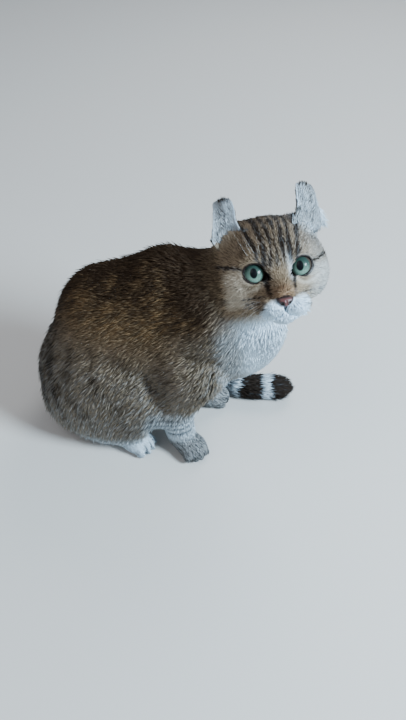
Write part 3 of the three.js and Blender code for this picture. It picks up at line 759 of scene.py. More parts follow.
@dataclass(frozen=True)
class Markings:
    """The tabby pattern and a little painted shade, as shares of dark, pale, warm and red at each place on
    the cat.
    """

    flesh: Flesh

    def shares(self, points: Array, normals: Array, near: Near) -> Shares:
        """The pattern on body, neck, legs and head.

        Args:
            points: Places on the skin.
            normals: The skin's normals there.
            near: The distance to each main part.

        Returns:
            The shares of dark, pale, warm and red, each from 0 to 1.
        """
        body = self.body(points, normals)
        head = self.head(points)
        weight = fall(1, 15, near["head"])
        legs = self.legs(points, near)
        low = fall(0, 20, nearest_leg(near)) * fall(52, 92, points[:, 2])
        return {key: np.clip(mixed(mixed(body[key], legs[key], low), head[key], weight), 0, 1)
                for key in body}

    def body(self, points: Array, normals: Array) -> Shares:
        """The dark saddle, the faint curved stripes of the flank and the white bib.

        Args:
            points: Places on the skin.
            normals: The skin's normals there.

        Returns:
            The body's shares.
        """
        x, y, z = points.T
        wobble = Ripple(70, 3).at(points)
        back = np.interp(x, [-150, -110, -60, 0, 60, 110], [120, 165, 195, 212, 225, 236])
        below = back - z + 7 * wobble
        saddle = fall(2, 62, below + 0.35 * np.abs(y - 3))
        bend = x + 0.35 * (z - 60) + 10 * Ripple(90, 5).at(points)
        stripes = smooth(-0.2, 1.0, np.sin(bend * 2 * math.pi / 34)) * 0.24
        stripes = stripes * smooth(20, 70, below) * fall(-30, 40, x) * smooth(28, 60, z)
        spine = fall(3, 22, np.hypot(y - 3, np.maximum(below - 3, 0) * 1.3))
        blotch = 0.1 * Ripple(26, 11).at(points)
        rear = fall(-130, -70, x)
        dark = 0.09 + 0.66 * saddle + stripes + 0.22 * spine + blotch + 0.5 * rear * smooth(30, 80, z)
        shoulder = hump(x, 24, 34) * hump(z, 186, 30) * 0.42
        nape = hump(x, 54, 20) * smooth(166, 196, z) * 0.42
        # Painted shade: a dark upright band in the crease where the haunch meets the body in front of it,
        # on both sides.
        crease_shade = hump(x, 20, 8) * smooth(84, 98, z) * fall(122, 146, z)
        crease_shade = crease_shade * smooth(38, 50, np.abs(y))
        dark = dark + shoulder + nape + 0.24 * crease_shade
        bib = smooth(72, 98, x + 5 * wobble) * (0.3 + 0.7 * smooth(96, 128, z))
        ruff = 0.42 * smooth(50, 84, x + 5 * wobble) * smooth(90, 130, z)
        front = smooth(0.35, 0.8, normals[:, 0]) * smooth(58, 84, x) * (0.25 + 0.75 * smooth(90, 128, z))
        belly = smooth(0.45, 0.9, -normals[:, 2]) * smooth(-60, -20, x)
        pale = np.clip(np.maximum.reduce([0.97 * bib, 0.95 * front, ruff]) + 0.8 * belly, 0, 1)
        low = fall(20, 130, z)
        pale = np.maximum(pale, 0.13 * low)
        warm = 0.06 + 0.94 * smooth(104, 176, z) * fall(0, 70, x - 40 * smooth(165, 195, z))
        return {"dark": dark * (1 - 0.85 * pale), "pale": pale, "warm": warm, "red": np.zeros(len(x))}

    def legs(self, points: Array, near: Near) -> Shares:
        """Grey forelegs with a few thin bars, pale hind feet, and painted shade as dark lines in the gaps
        between the toes.

        Args:
            points: Places on the skin.
            near: The distance to each main part.

        Returns:
            The legs' shares.
        """
        z = points[:, 2]
        flesh = self.flesh
        fore = np.minimum(near["fore_left"], near["fore_right"]) < np.minimum(
            near["hind_left"], near["hind_right"])
        bars = np.zeros(len(z))
        for height in (37, 46, 55, 64):
            bars = np.maximum(bars, hump(z, height + 0.12 * points[:, 0], 2.0))
        paw = fall(22, 34, z)
        dark = np.where(fore, 0.08 + 0.44 * paw + 0.9 * bars * (1 - paw), 0.06)
        # Painted shade: dark lines in the gaps between the toes of the paws and hind feet, low down.
        lines = np.zeros(len(z))
        for side in Side:
            for forms, limb in ((flesh.foreleg, "fore"), (flesh.hind_foot, "hind")):
                made, yaw = forms(side)
                ball = made[-flesh.toe_count - 1]
                q = turned(vec(*ball.centre), yaw).into(points)
                step = q[:, 1] / flesh.toe_spread
                toe_gap_shade = hump(step * flesh.toe_spread, np.round(step) * flesh.toe_spread, 1.3)
                toe_gap_shade = toe_gap_shade * (np.abs(step) < 1.5)
                lines = np.maximum(lines, toe_gap_shade * smooth(4, 9, q[:, 0]) * (near[f"{limb}_{side.label}"] < 3))
        dark = np.maximum(dark, 1.1 * lines * fall(14, 22, z))
        pale = np.where(fore, 0.6 - 0.34 * paw - 0.25 * smooth(56, 90, z), 0.72 - 0.25 * smooth(14, 40, z))
        return cold_shares(dark, pale * (1 - 0.8 * np.clip(dark - 0.2, 0, 1)))

    def head(self, points: Array) -> Shares:
        """The forehead's lines, the lines from the eyes, the red bridge and the white muzzle.

        Args:
            points: Places on the skin.

        Returns:
            The head's shares.
        """
        q = self.flesh.in_head(points)
        x, y, z = q.T
        across = np.abs(y)
        fore = smooth(-2, 7, z) * smooth(-24, 0, x)
        lines = np.zeros(len(x))
        for start, end, width in ((0.0, 0.0, 1.5), (4.6, 6.5, 1.8), (10.0, 13.5, 2.2), (16.5, 25, 2.0)):
            middle = mixed(start, end, smooth(8, 50, z)) + 0.8 * Ripple(24, 23).at(points)
            lines = np.maximum(lines, hump(across, middle, width))
        lines = lines * fore * (0.8 + 0.3 * Ripple(16, 29).at(points))
        crown = smooth(32, 48, z) * 0.5
        # The head's sides are darker, fully on the cat's right and half as much on its left: partly darker
        # fur, and on the right partly painted shade behind the cheek.
        side = np.where(y < 0, smooth(41, 50, across), 0.5 * smooth(43, 54, across))
        back = np.maximum(1 - smooth(-30, -4, x), side)
        eye = np.minimum(*(np.linalg.norm((q - self.flesh.eyes.centre(s)) * vec(0.5, 1, 1), axis=1)
                           for s in Side))
        ring = hump(eye, 13.2, 2.2) * smooth(10, 18, x)
        outer = hump(z, 4 + 0.22 * (across - 28), 1.3) * smooth(29, 33, across)
        outer = outer * fall(44, 50, across) * smooth(-14, -6, x)
        lower = hump(z, -16 - 0.1 * across, 2.2) * smooth(30, 36, across) * 0.6
        tear = hump(across, 9.5 + 0.1 * (z + 12), 1.9) * smooth(-24, -16, z)
        tear = tear * fall(-6, 0, z) * smooth(20, 28, x)
        corner = hump(across, 11, 2) * hump(z, -9, 4) * smooth(20, 28, x)
        spots = np.zeros(len(x))
        for row, height in enumerate((-22.5, -26.5, -30.5)):
            wave = 0.6 + 0.4 * np.cos((across - 2 * row) * 2 * math.pi / 4.2)
            spots = np.maximum(spots, hump(z, height + 0.08 * across, 1.1) * wave)
        spots = spots * smooth(11, 15, across) * fall(26, 33, across) * smooth(12, 20, x)
        dark = 1.25 * lines + 0.8 * crown + 0.86 * back + 0.8 * outer + lower
        dark = dark + 0.8 * tear + 0.6 * corner + 0.85 * spots + 0.06 * Ripple(9, 31).at(points)
        plan = EarPlan()
        feet = [np.exp(-((q - vec(*base)) ** 2).sum(1) / 340) for base in (plan.base_left, plan.base_right)]
        dark = (dark + 0.09 + 0.12 * smooth(-4, 10, z)) * (1 - 0.7 * np.maximum(*feet))
        above = hump(across, 26, 7) * hump(z, 22, 6)
        dark = dark + above * np.where(y < 0, 0.3, 0.12)
        muzzle = fall(-26, -19, z + np.where(y < 0, 0.7, 0.0) * np.maximum(across - 8, 0))
        muzzle = muzzle * smooth(6, 20, x) * fall(17, 25, across)
        bib = fall(-46, -30, z)
        bridge = hump(across, 0, 7) * smooth(-30, -22, z) * fall(-20, -6, z)
        bridge = bridge * smooth(30, 38, x)
        stripe = hump(across, 8.2, 3) * smooth(-18, -6, z) * fall(2, 24, z)
        stripe = stripe * np.where(y > 0, 0.62, 0.25)
        under = hump(eye, 14.5, 3) * fall(-9, -3, z) * smooth(12, 22, x)
        cheek = smooth(16, 30, across) * fall(-2, 10, z) * smooth(-34, -24, z)
        cheek = cheek * np.where(y < 0, 0.7 * smooth(-24, -4, x) * fall(39, 48, across), 0.46)
        pale = np.maximum.reduce([muzzle, bib, 0.22 * ring, 0.6 * under, stripe, cheek,
                                  0.85 * feet[0], 0.4 * feet[1], 0.17 + 0.08 * smooth(-6, 34, y)])
        red = np.clip(0.7 * bridge + 0.5 * tear, 0, 1)
        drawn = np.clip(np.maximum.reduce([lines, outer, tear, spots]), 0, 1)
        pale = pale * (1 - red) * (1 - 0.9 * drawn)
        warm = (0.82 + 0.18 * back - 0.42 * smooth(10, 40, y)) * (1 - 0.7 * drawn)
        warm = warm * (1 - np.maximum(muzzle, bib)) * (1 - 0.9 * stripe) * (1 - 0.9 * feet[0])
        return {"dark": dark * (1 - 0.95 * np.maximum(muzzle, bib) * (1 - spots)), "pale": pale,
                "warm": warm, "red": red}

    def tail(self, place: Array, points: Array) -> Shares:
        """The tail's rings and black tip.

        Args:
            place: How far along the tail, from 0 to 1.
            points: The same places on the skin.

        Returns:
            The tail's shares.
        """
        at = place + 0.006 * Ripple(14, 37).at(points)
        dark = smooth(0.832, 0.85, at)
        for ring, half, depth in ((0.75, 0.056, 1.0), (0.66, 0.018, 0.7), (0.56, 0.018, 0.7),
                                  (0.46, 0.018, 0.6), (0.36, 0.018, 0.6), (0.26, 0.018, 0.6)):
            dark = np.maximum(dark, depth * fall(half * 0.8, half * 1.15, np.abs(at - ring)))
        pale = 0.5 * smooth(0.5, 0.66, at) + 0.12
        return cold_shares(np.clip(1.1 * dark + 0.08, 0, 1.15), pale * (1 - dark))


# Roots and tufts


@dataclass
class Roots:
    """Places on the skin where tufts grow."""

    at: Array
    normals: Array
    lie: Array
    length: Array
    width: Array
    stand: Array
    uv: Array
    shares: Shares
    shade: Array


def sown(surface: Surface, density: Array, seed: int) -> tuple[Array, Array, Array]:
    """Seeded places on a surface, evenly spread by a density.

    Args:
        surface: Where they are sown.
        density: How many to sow on a square millimetre at each point of the surface.
        seed: The seed.

    Returns:
        The point, the normal and the bake map's place of each.
    """
    draw = np.random.default_rng(seed)
    faces = surface.triangles()
    a, b, c = (surface.points[faces[:, n]] for n in range(3))
    area = np.linalg.norm(np.cross(b - a, c - a), axis=1) / 2
    want = np.cumsum(area * density[faces].mean(1))
    total = int(want[-1])
    chosen = np.searchsorted(want, (np.arange(total) + draw.uniform(0, 1, total)) * want[-1] / total)
    chosen = np.minimum(chosen, len(faces) - 1)
    first, second = np.sqrt(draw.uniform(0, 1, total)), draw.uniform(0, 1, total)
    weights = columns(1 - first, first * (1 - second), first * second)[:, :, None]
    flat = Unwrap().laid(surface)
    flat = np.vstack([flat[:, [0, 1, 2]], flat[:, [0, 2, 3]]])
    rows = faces[chosen]
    return ((surface.points[rows] * weights).sum(1), unit((surface.normals[rows] * weights).sum(1)),
            (flat[chosen] * weights).sum(1))


def combed(ripple: Ripple, at: Array, lie: Array, step: float) -> Array:
    """Noise drawn out along the hair by two steps each way, so that neighbours share it."""
    return sum(ripple.at(at + n * step * lie) for n in range(-2, 3)) / 2.4


def along_skin(lie: Array, normals: Array) -> Array:
    """A direction laid flat on the skin."""
    return unit(lie - normals * (lie * normals).sum(1, keepdims=True))


@dataclass(frozen=True)
class Tuft:
    """The make of a tuft: a closed three-sided spike that rises and bends over."""

    bends: int = 1
    patch: float = 0.003
    sunk: float = 0.5
    taper: float = 0.55
    thickness: float = 0.24

    def corners(self) -> tuple[Array, Array]:
        """The height of each vertex along the tuft and its corner number, with the tip last."""
        rows = self.bends + 1
        height = np.append(np.repeat(np.arange(rows) / rows, 3), 1.0)
        return height, np.append(np.tile(np.arange(3), rows), 0)

    def faces(self) -> Array:
        """The triangles of one tuft."""
        out = [(0, 2, 1)]
        for row in range(self.bends):
            for n in range(3):
                a, b = row * 3 + n, row * 3 + (n + 1) % 3
                out += [(a, b, b + 3), (a, b + 3, a + 3)]
        tip, last = (self.bends + 1) * 3, self.bends * 3
        out += [(last + n, last + (n + 1) % 3, tip) for n in range(3)]
        return np.array(out)

    def grown(self, roots: Roots) -> tuple[Array, Array, Array, Array]:
        """The tufts' shared mesh.

        Args:
            roots: Where they grow and how.

        Returns:
            Vertices, triangles, the map's place of each vertex, and how far along its tuft it lies.
        """
        height, corner = self.corners()
        side = np.cross(roots.normals, roots.lie)
        rise = np.sin(height * math.pi * 0.5)[None, :] * roots.stand[:, None]
        spine = (roots.at[:, None, :] - self.sunk * roots.normals[:, None, :]
                 + roots.lie[:, None, :] * (roots.length[:, None] * height)[:, :, None]
                 + roots.normals[:, None, :] * ((rise + self.sunk) * np.minimum(height * 3, 1))[:, :, None])
        turn = corner * (2 * math.pi / 3) + math.pi / 2
        swell = np.where(height < 1, 1 - self.taper * height ** 2, 0.0)
        wide = (np.cos(turn) * swell)[None, :] * roots.width[:, None] / 2
        thick = (np.sin(turn) * swell)[None, :] * roots.width[:, None] * self.thickness
        points = spine + side[:, None, :] * wide[:, :, None] + roots.normals[:, None, :] * thick[:, :, None]
        count = len(height)
        faces = (self.faces()[None] + (np.arange(len(roots.at)) * count)[:, None, None]).reshape(-1, 3)
        spread = columns((corner - 1) * self.patch / 2, (height - 0.5) * self.patch)
        uv = roots.uv[:, None, :] + spread[None]
        return points.reshape(-1, 3), faces, uv.reshape(-1, 2), np.tile(height, len(roots.at))


# The unwrap of the skin


@dataclass(frozen=True)
class Unwrap:
    """Lays a surface out flat, in charts that each face one way, packed into a square."""

    margin: float = 0.004
    shrink: float = 0.94

    def charts(self, surface: Surface) -> Array:
        """A chart number for each quad, shared by touching quads that face the same way."""
        facing = surface.normals[surface.quads].mean(1)
        way = np.argmax(np.abs(facing), 1)
        way = way * 2 + (facing[np.arange(len(facing)), way] > 0)
        edges = np.sort(np.stack([surface.quads, np.roll(surface.quads, -1, 1)], 2).reshape(-1, 2), 1)
        keys = edges[:, 0].astype(np.int64) * len(surface.points) + edges[:, 1]
        order = np.argsort(keys, kind="stable")
        same = keys[order][1:] == keys[order][:-1]
        owner = order // 4
        first, second = owner[:-1][same], owner[1:][same]
        alike = way[first] == way[second]
        first, second = first[alike], second[alike]
        label = np.arange(len(surface.quads))
        while True:
            low = np.minimum(label[first], label[second])
            fresh = label.copy()
            np.minimum.at(fresh, label[first], low)
            np.minimum.at(fresh, label[second], low)
            fresh = fresh[fresh]
            if (fresh == label).all():
                return label
            label = fresh

    def laid(self, surface: Surface) -> Array:
        """Lays out a surface's quads on the map.

        Args:
            surface: The surface to lay out.

        Returns:
            Its four corners' places for each quad.
        """
        label = self.charts(surface)
        names, chart = np.unique(label, return_inverse=True)
        chart = chart.ravel()
        facing = np.stack([np.bincount(chart, surface.normals[surface.quads].mean(1)[:, n])
                           for n in range(3)], 1)
        axis = np.argmax(np.abs(facing), 1)[chart]
        corner = surface.points[surface.quads]
        flat = np.empty(surface.quads.shape + (2,))
        for n in range(3):
            rows = axis == n
            flat[rows] = corner[rows][:, :, [(n + 1) % 3, (n + 2) % 3]]
        low = np.full((len(names), 2), 1e9)
        high = np.full((len(names), 2), -1e9)
        for n in range(4):
            np.minimum.at(low, chart, flat[:, n])
            np.maximum.at(high, chart, flat[:, n])
        places, scale = self.packed(high - low)
        return places[chart][:, None, :] + (flat - low[chart][:, None, :]) * scale

    def packed(self, sizes: Array) -> tuple[Array, float]:
        """Shelves of charts in a unit square.

        Args:
            sizes: The width and height of each chart.

        Returns:
            Where each starts, and the scale that makes them all fit.
        """
        order = np.argsort(-sizes[:, 1])
        scale = 1.0 / math.sqrt(sizes.prod(1).sum() + 1e-9)
        while True:
            places = np.zeros_like(sizes)
            x = y = self.margin
            shelf = 0.0
            fits = True
            for n in order:
                wide, tall = sizes[n] * scale + self.margin
                if x + wide > 1:
                    x, y, shelf = self.margin, y + shelf, 0.0
                if x + wide > 1 or y + tall > 1:
                    fits = False
                    break
                places[n] = x, y
                x, shelf = x + wide, max(shelf, tall)
            if fits:
                return places, scale
            scale *= self.shrink


def lay_map(piece: Piece, corners: Array) -> None:
    """Gives a piece its bake map from the place of each face corner."""
    layer = piece.data.uv_layers.new(name=BAKE_MAP)
    layer.data.foreach_set("uv", corners.astype(np.float32).ravel())


# Shader expressions


@dataclass(frozen=True)
class Value:
    """A socket of numbers in a finish, written into sums like a plain number."""

    nodes: Nodes
    socket: Any

    def _with(self, operation: str, first: Any, second: Any) -> Value:
        """A Math node on two values."""
        return self.nodes.value(self.nodes.add("ShaderNodeMath", {"operation": operation},
                                               {0: first, 1: second}))

    def __add__(self, other: Value | float) -> Value:
        """The sum."""
        return self._with("ADD", self, other)

    def __radd__(self, other: float) -> Value:
        """The sum with a plain number first."""
        return self._with("ADD", other, self)

    def __sub__(self, other: Value | float) -> Value:
        """The difference."""
        return self._with("SUBTRACT", self, other)

    def __rsub__(self, other: float) -> Value:
        """A plain number less this value."""
        return self._with("SUBTRACT", other, self)

    def __mul__(self, other: Value | float) -> Value:
        """The product."""
        return self._with("MULTIPLY", self, other)

    def __rmul__(self, other: float) -> Value:
        """The product with a plain number first."""
        return self._with("MULTIPLY", other, self)

    def __truediv__(self, other: Value | float) -> Value:
        """The quotient."""
        return self._with("DIVIDE", self, other)

    def __pow__(self, other: Value | float) -> Value:
        """The power."""
        return self._with("POWER", self, other)

    def clamped(self) -> Value:
        """The value kept between 0 and 1."""
        node = self.nodes.add("ShaderNodeClamp", {}, {"Value": self})
        return self.nodes.value(node)

    def between(self, low: float, high: float) -> Value:
        """A soft step from 0 at low to 1 at high."""
        node = self.nodes.add("ShaderNodeMapRange", {"interpolation_type": "SMOOTHSTEP"},
                              {"Value": self, "From Min": low, "From Max": high})
        return self.nodes.value(node)


class Nodes:
    """The node tree of one finish."""

    def __init__(self, name: str) -> None:
        """Starts an empty finish with this name."""
        self.material = bpy.data.materials.new(name)
        self.material.use_nodes = True
        self.tree = self.material.node_tree
        self.tree.nodes.clear()

    def add(self, kind: str, settings: dict[str, Any], inputs: dict[Any, Any]) -> bpy.types.Node:
        """Adds one node.

        Args:
            kind: Its type.
            settings: Its own settings, set first.
            inputs: A value, or the value or node that is linked, for each of its sockets.

        Returns:
            The node.
        """
        node = self.tree.nodes.new(kind)
        for key, setting in settings.items():
            setattr(node, key, setting)
        for key, given in inputs.items():
            if isinstance(given, Value):
                self.tree.links.new(given.socket, node.inputs[key])
            elif isinstance(given, bpy.types.NodeSocket):
                self.tree.links.new(given, node.inputs[key])
            else:
                node.inputs[key].default_value = given
        return node

    def value(self, node: bpy.types.Node, output: Any = 0) -> Value:
        """One output of a node as a value."""
        return Value(self, node.outputs[output])

    def stored(self, name: str) -> bpy.types.Node:
        """Reads a vector stored on the mesh."""
        return self.add("ShaderNodeAttribute", {"attribute_name": name}, {})

    def parts(self, name: str) -> tuple[Value, Value, Value]:
        """The three numbers of a stored vector."""
        split = self.add("ShaderNodeSeparateXYZ", {}, {0: self.stored(name).outputs["Vector"]})
        return self.value(split, 0), self.value(split, 1), self.value(split, 2)

    def blend(self, amount: Value | float, first: Any, second: Any) -> bpy.types.NodeSocket:
        """A Mix of two colours."""
        node = self.add("ShaderNodeMix", {"data_type": "RGBA"}, {0: amount, 6: first, 7: second})
        return node.outputs[2]

    def noise(self, scale: float, detail: float = 3.0) -> Value:
        """Noise in the piece's own space, as a value around 0.5."""
        place = self.add("ShaderNodeTexCoord", {}, {}).outputs["Object"]
        inputs = {"Vector": place, "Scale": scale, "Detail": detail}
        return self.value(self.add("ShaderNodeTexNoise", {}, inputs))

    def surface(self, inputs: dict[str, Any]) -> Finish:
        """Ends the finish with its main shader.

        Args:
            inputs: The shader's values and links.

        Returns:
            The finished material.
        """
        shader = self.add("ShaderNodeBsdfPrincipled", {}, inputs)
        self.add("ShaderNodeOutputMaterial", {}, {"Surface": shader.outputs[0]})
        return self.material


def paint(red: float, green: float, blue: float) -> Colour:
    """A colour given as screen values from 0 to 255, in linear light."""
    parts = [((c / 255 + 0.055) / 1.055) ** 2.4 if c > 10 else c / 255 / 12.92 for c in (red, green, blue)]
    return (*parts, 1.0)


@dataclass(frozen=True)
class CoatColours:
    """The hair's colours, shared by the skin and the tufts."""

    brown: Colour = paint(130, 101, 66)
    cool: Colour = paint(134, 129, 122)
    black: Colour = paint(31, 23, 17)
    umber: Colour = paint(66, 50, 35)
    white: Colour = paint(216, 238, 255)
    cream: Colour = paint(206, 184, 150)
    red: Colour = paint(142, 106, 78)
    tick: Colour = paint(176, 156, 126)
    roughness: float = 0.74
    grain: float = 900.0

    def colour(self, nodes: Nodes, tip: Value | float, shade: Value | float) -> bpy.types.NodeSocket:
        """The hair's colour from the stored shares.

        Args:
            nodes: The finish that it belongs to.
            tip: How far along the tuft.
            shade: A number that differs between tufts.

        Returns:
            The colour's socket.
        """
        dark, pale, warm = nodes.parts("shares")
        red = nodes.parts("hair")[2]
        ground = nodes.blend(warm, self.cool, self.brown)
        band = (1 - (tip * 3.6 - 2.1) ** 2).clamped() if isinstance(tip, Value) else 0.35
        ticked = nodes.blend(band * (shade * 0.9 + 0.1) * 0.8, ground, self.tick)
        ticked = nodes.blend(red, ticked, self.red)
        speckle = (dark * 1.1 + dark ** 6 * 0.4 - 0.02 + (shade - 0.5) * 0.95).clamped()
        darkened = nodes.blend(speckle ** 0.85, ticked, nodes.blend(warm * 0.8, self.black, self.umber))
        pale = (pale * 1.12 - 0.06 - (shade - 0.5) * 0.22).clamped()
        return nodes.blend(pale, darkened, nodes.blend(warm, self.white, self.cream))


@dataclass(frozen=True)
class CoatFinish:
    """The tufts' finish."""

    colours: CoatColours = CoatColours()
    name: str = "tabby coat"
    root: Colour = paint(12, 9, 8)
    evenness: float = 0.62
    gloss: float = 0.14

    def build(self) -> Finish:
        """Hair colour by the markings, lighter and darker from tuft to tuft, lit mostly as the body is."""
        nodes = Nodes(self.name)
        tip, shade, _ = nodes.parts("hair")
        colour = self.colours.colour(nodes, tip, shade)
        depth = (tip * 0.7 + nodes.parts("shares")[1] * 0.45 + 0.45).clamped()
        colour = nodes.blend(depth, self.root, colour)
        body = nodes.stored("skin_normal").outputs["Vector"]
        own = nodes.add("ShaderNodeNewGeometry", {}, {}).outputs["Normal"]
        normal = nodes.add("ShaderNodeMix", {"data_type": "VECTOR"}, {0: self.evenness, 4: own, 5: body})
        return nodes.surface({"Base Color": colour, "Roughness": self.colours.roughness,
                              "Specular IOR Level": self.gloss, "Normal": normal.outputs[1]})


@dataclass(frozen=True)
class SkinFinish:
    """The short undercoat on the skin, with the same markings as the tufts and a fine bump."""

    colours: CoatColours = CoatColours()
    name: str = "undercoat"
    shadow: Colour = paint(20, 15, 12)
    line: Colour = paint(22, 16, 15)
    bump: float = 0.35
    bump_height: float = 0.0006
    gloss: float = 0.25

    def build(self) -> Finish:
        """The coat's colours with a hair-fine grain; the lids' edges and the mouth are darkened."""
        nodes = Nodes(self.name)
        grain = nodes.noise(self.colours.grain, 2.0)
        colour = self.colours.colour(nodes, grain, grain)
        colour = nodes.blend(0.28 - nodes.parts("shares")[1] * 0.2, colour, self.shadow)
        line = nodes.parts("hair")[0]
        colour = nodes.blend(line, colour, self.line)
        height = nodes.add("ShaderNodeBump", {},
                           {"Strength": self.bump, "Distance": self.bump_height, "Height": grain})
        return nodes.surface({"Base Color": colour, "Roughness": 0.75 - line * 0.4,
                              "Specular IOR Level": self.gloss, "Normal": height.outputs[0]})


# The coat


@dataclass(frozen=True)
class Growth:
    """How the coat grows in one region: millimetres, and tufts on a square millimetre."""

    length: float
    width: float
    stand: float
    density: float

    def row(self) -> Array:
        """The four numbers as a row."""
        return vec(self.length, self.width, self.stand, self.density)


@dataclass(frozen=True)
class CoatPlan:
    """The coat's growth by region, how tufts differ, and the most triangles in one piece.

    The ranges multiply a region's own sizes, and proud is the share of tufts that stand up more
    and how much more.
    """

    body: Growth = Growth(13.5, 1.4, 5.4, 0.55)
    chest: Growth = Growth(12.0, 1.2, 1.9, 0.85)
    neck: Growth = Growth(12.0, 1.4, 4.6, 0.75)
    leg: Growth = Growth(6.6, 1.3, 2.0, 0.98)
    foot: Growth = Growth(4.6, 1.2, 1.1, 0.76)
    crown: Growth = Growth(8.0, 1.15, 2.6, 1.15)
    face: Growth = Growth(6.0, 0.95, 1.3, 1.8)
    tail: Growth = Growth(12.5, 1.6, 5.0, 0.54)
    ear_foot: Growth = Growth(12.0, 1.2, 4.4, 1.3)
    tail_tip: float = 0.62
    ruffle: float = 0.16
    scatter: float = 0.13
    lengths: Pair = (0.72, 1.12)
    widths: Pair = (0.7, 1.2)
    stands: Pair = (0.5, 1.0)
    proud: Pair = (0.1, 1.5)
    floor_gap: float = 0.15
    limit: int = 196_000


@dataclass(frozen=True)
class Coat:
    """Sows and grows the tufts, with the markings."""

    flesh: Flesh
    markings: Markings
    bench: Bench
    finish: Finish
    plan: CoatPlan = CoatPlan()

    def zones(self, points: Array, near: Near) -> Shares:
        """The weight of each zone at each point, from 0 to 1.

        Args:
            points: Places on the skin.
            near: The distance to each main part.

        Returns:
            A weight for each point under each zone's name.
        """
        legs = nearest_leg(near)
        x, _, z = points.T
        q = self.flesh.in_head(points)
        return {"leg": fall(0, 12, legs) * fall(46, 86, z),
                "foot": fall(0, 8, legs) * fall(16, 34, z),
                "head": fall(-2, 16, near["head"]),
                "face": smooth(0, 24, q[:, 0]) * fall(26, 44, np.abs(q[:, 1])),
                "neck": smooth(150, 190, z) * smooth(30, 60, x),
                "chest": smooth(66, 92, x) * fall(150, 185, z)}

    def growth(self, points: Array, near: Near) -> Array:
        """The four numbers of growth at each point."""
        zones = self.zones(points, near)
        rows = np.tile(self.plan.body.row(), (len(points), 1))
        for name, plan in (("chest", self.plan.chest), ("neck", self.plan.neck), ("leg", self.plan.leg),
                           ("foot", self.plan.foot), ("head", self.plan.crown)):
            rows = mixed(rows, plan.row(), zones[name][:, None])
        rows = mixed(rows, self.plan.face.row(), (zones["head"] * zones["face"])[:, None])
        return mixed(rows, self.plan.ear_foot.row(), self.ear_foot(points)[:, None])

    def density(self, surface: Surface, on_tail: bool) -> Array:
        """How many tufts grow on a square millimetre at each point of a surface."""
        if on_tail:
            return np.full(len(surface.points), self.plan.tail.density)
        return self.growth(surface.points, self.flesh.parts(surface.points))[:, 3]

    def ear_foot(self, points: Array) -> Array:
        """How near each point lies to the foot of an ear, from 0 to 1, where long hair covers the join."""
        q = self.flesh.in_head(points)
        plan = EarPlan()
        reach = np.minimum(*(np.linalg.norm((q - vec(*base)) * vec(0.7, 1, 1), axis=1)
                             for base in (plan.base_left, plan.base_right)))
        return fall(9, 19, reach) * smooth(-8, 2, q[:, 0])

    def lie(self, points: Array, normals: Array, near: Near) -> Array:
        """Which way the coat lies at each point, flat on the skin.

        Args:
            points: Places on the skin.
            normals: The skin's normals there.
            near: The distance to each main part.

        Returns:
            The directions.
        """
        x, y, z = points.T
        zones = self.zones(points, near)
        haunch = fall(-60, -10, x) * fall(90, 140, z)
        down = 0.3 + 0.55 * fall(120, 190, z) + 0.9 * haunch
        way = unit(columns(np.full(len(x), -1.0) + 0.55 * haunch, 0.1 * np.sign(y), -down))
        way = mixed(way, unit(vec(0.05, 0, -1)), zones["chest"][:, None])
        way = mixed(way, unit(vec(-0.55, 0, -0.85)), (zones["neck"] * 0.7)[:, None])
        way = mixed(way, unit(vec(-0.12, 0, -1)), zones["leg"][:, None])
        toes = np.zeros_like(way)
        best = np.full(len(x), 1e9)
        for side in Side:
            for limb, forms in (("hind", self.flesh.hind_foot), ("fore", self.flesh.foreleg)):
                yaw = math.radians(forms(side)[1])
                here = near[f"{limb}_{side.label}"] < best
                best = np.where(here, near[f"{limb}_{side.label}"], best)
                toes[here] = vec(math.cos(yaw), math.sin(yaw), -0.35)
        way = mixed(way, toes, zones["foot"][:, None])
        frame = self.flesh.skull.frame()
        q = frame.into(points)
        away = unit(q - vec(50, 0, -20))
        away = unit(away + vec(-0.25, 0, -0.25) * smooth(-40, 10, -q[:, 2])[:, None])
        way = mixed(way, frame.turn_out(away), smooth(0.15, 0.75, zones["head"])[:, None])
        swirl = np.stack([Ripple(34, 41 + n).at(points) for n in range(3)], 1)
        return along_skin(unit(way) + self.plan.ruffle * swirl, normals)

    def bare(self, points: Array) -> Array:
        """Where no tuft grows: the eyes' openings, the nose leather and the mouth's line."""
        q = self.flesh.in_head(points)
        bare = NosePlan().distance(q) < 0.5
        for side in Side:
            bare |= (self.flesh.eyes.opening(q, side) < 1.7) & (q[:, 0] > 14)
        for groove in self.flesh.grooves:
            bare |= (groove.distance(q) < 0.3) & (np.abs(q[:, 1]) < 5)
        return bare

    def roots(self, surface: Surface, seed: int) -> Roots:
        """Roots all over a part of the skin.

        Args:
            surface: The part of the skin.
            seed: Seeds their places.

        Returns:
            The roots, in the order that they were sown.
        """
        at, normals, uv = sown(surface, self.density(surface, False), seed)
        keep = ~self.bare(at)
        at, normals, uv = at[keep], normals[keep], uv[keep]
        near = self.flesh.parts(at)
        growth = self.growth(at, near)
        shares = self.markings.shares(at, normals, near)
        return self.varied(at, normals, self.lie(at, normals, near), growth, uv, shares, seed)

    def tail_roots(self, surface: Surface, seed: int) -> Roots:
        """Roots all over the tail."""
        at, normals, uv = sown(surface, self.density(surface, True), seed)
        _, place, along = self.flesh.tail.nearest(at)
        lie = along_skin(along + 0.5 * self.plan.ruffle * Ripple(20, 43).at(at)[:, None], normals)
        rows = np.tile(self.plan.tail.row(), (len(at), 1))
        rows[:, 0] *= mixed(1.0, self.plan.tail_tip, smooth(0.93, 1, place))
        return self.varied(at, normals, lie, rows, uv, self.markings.tail(place, at), seed)

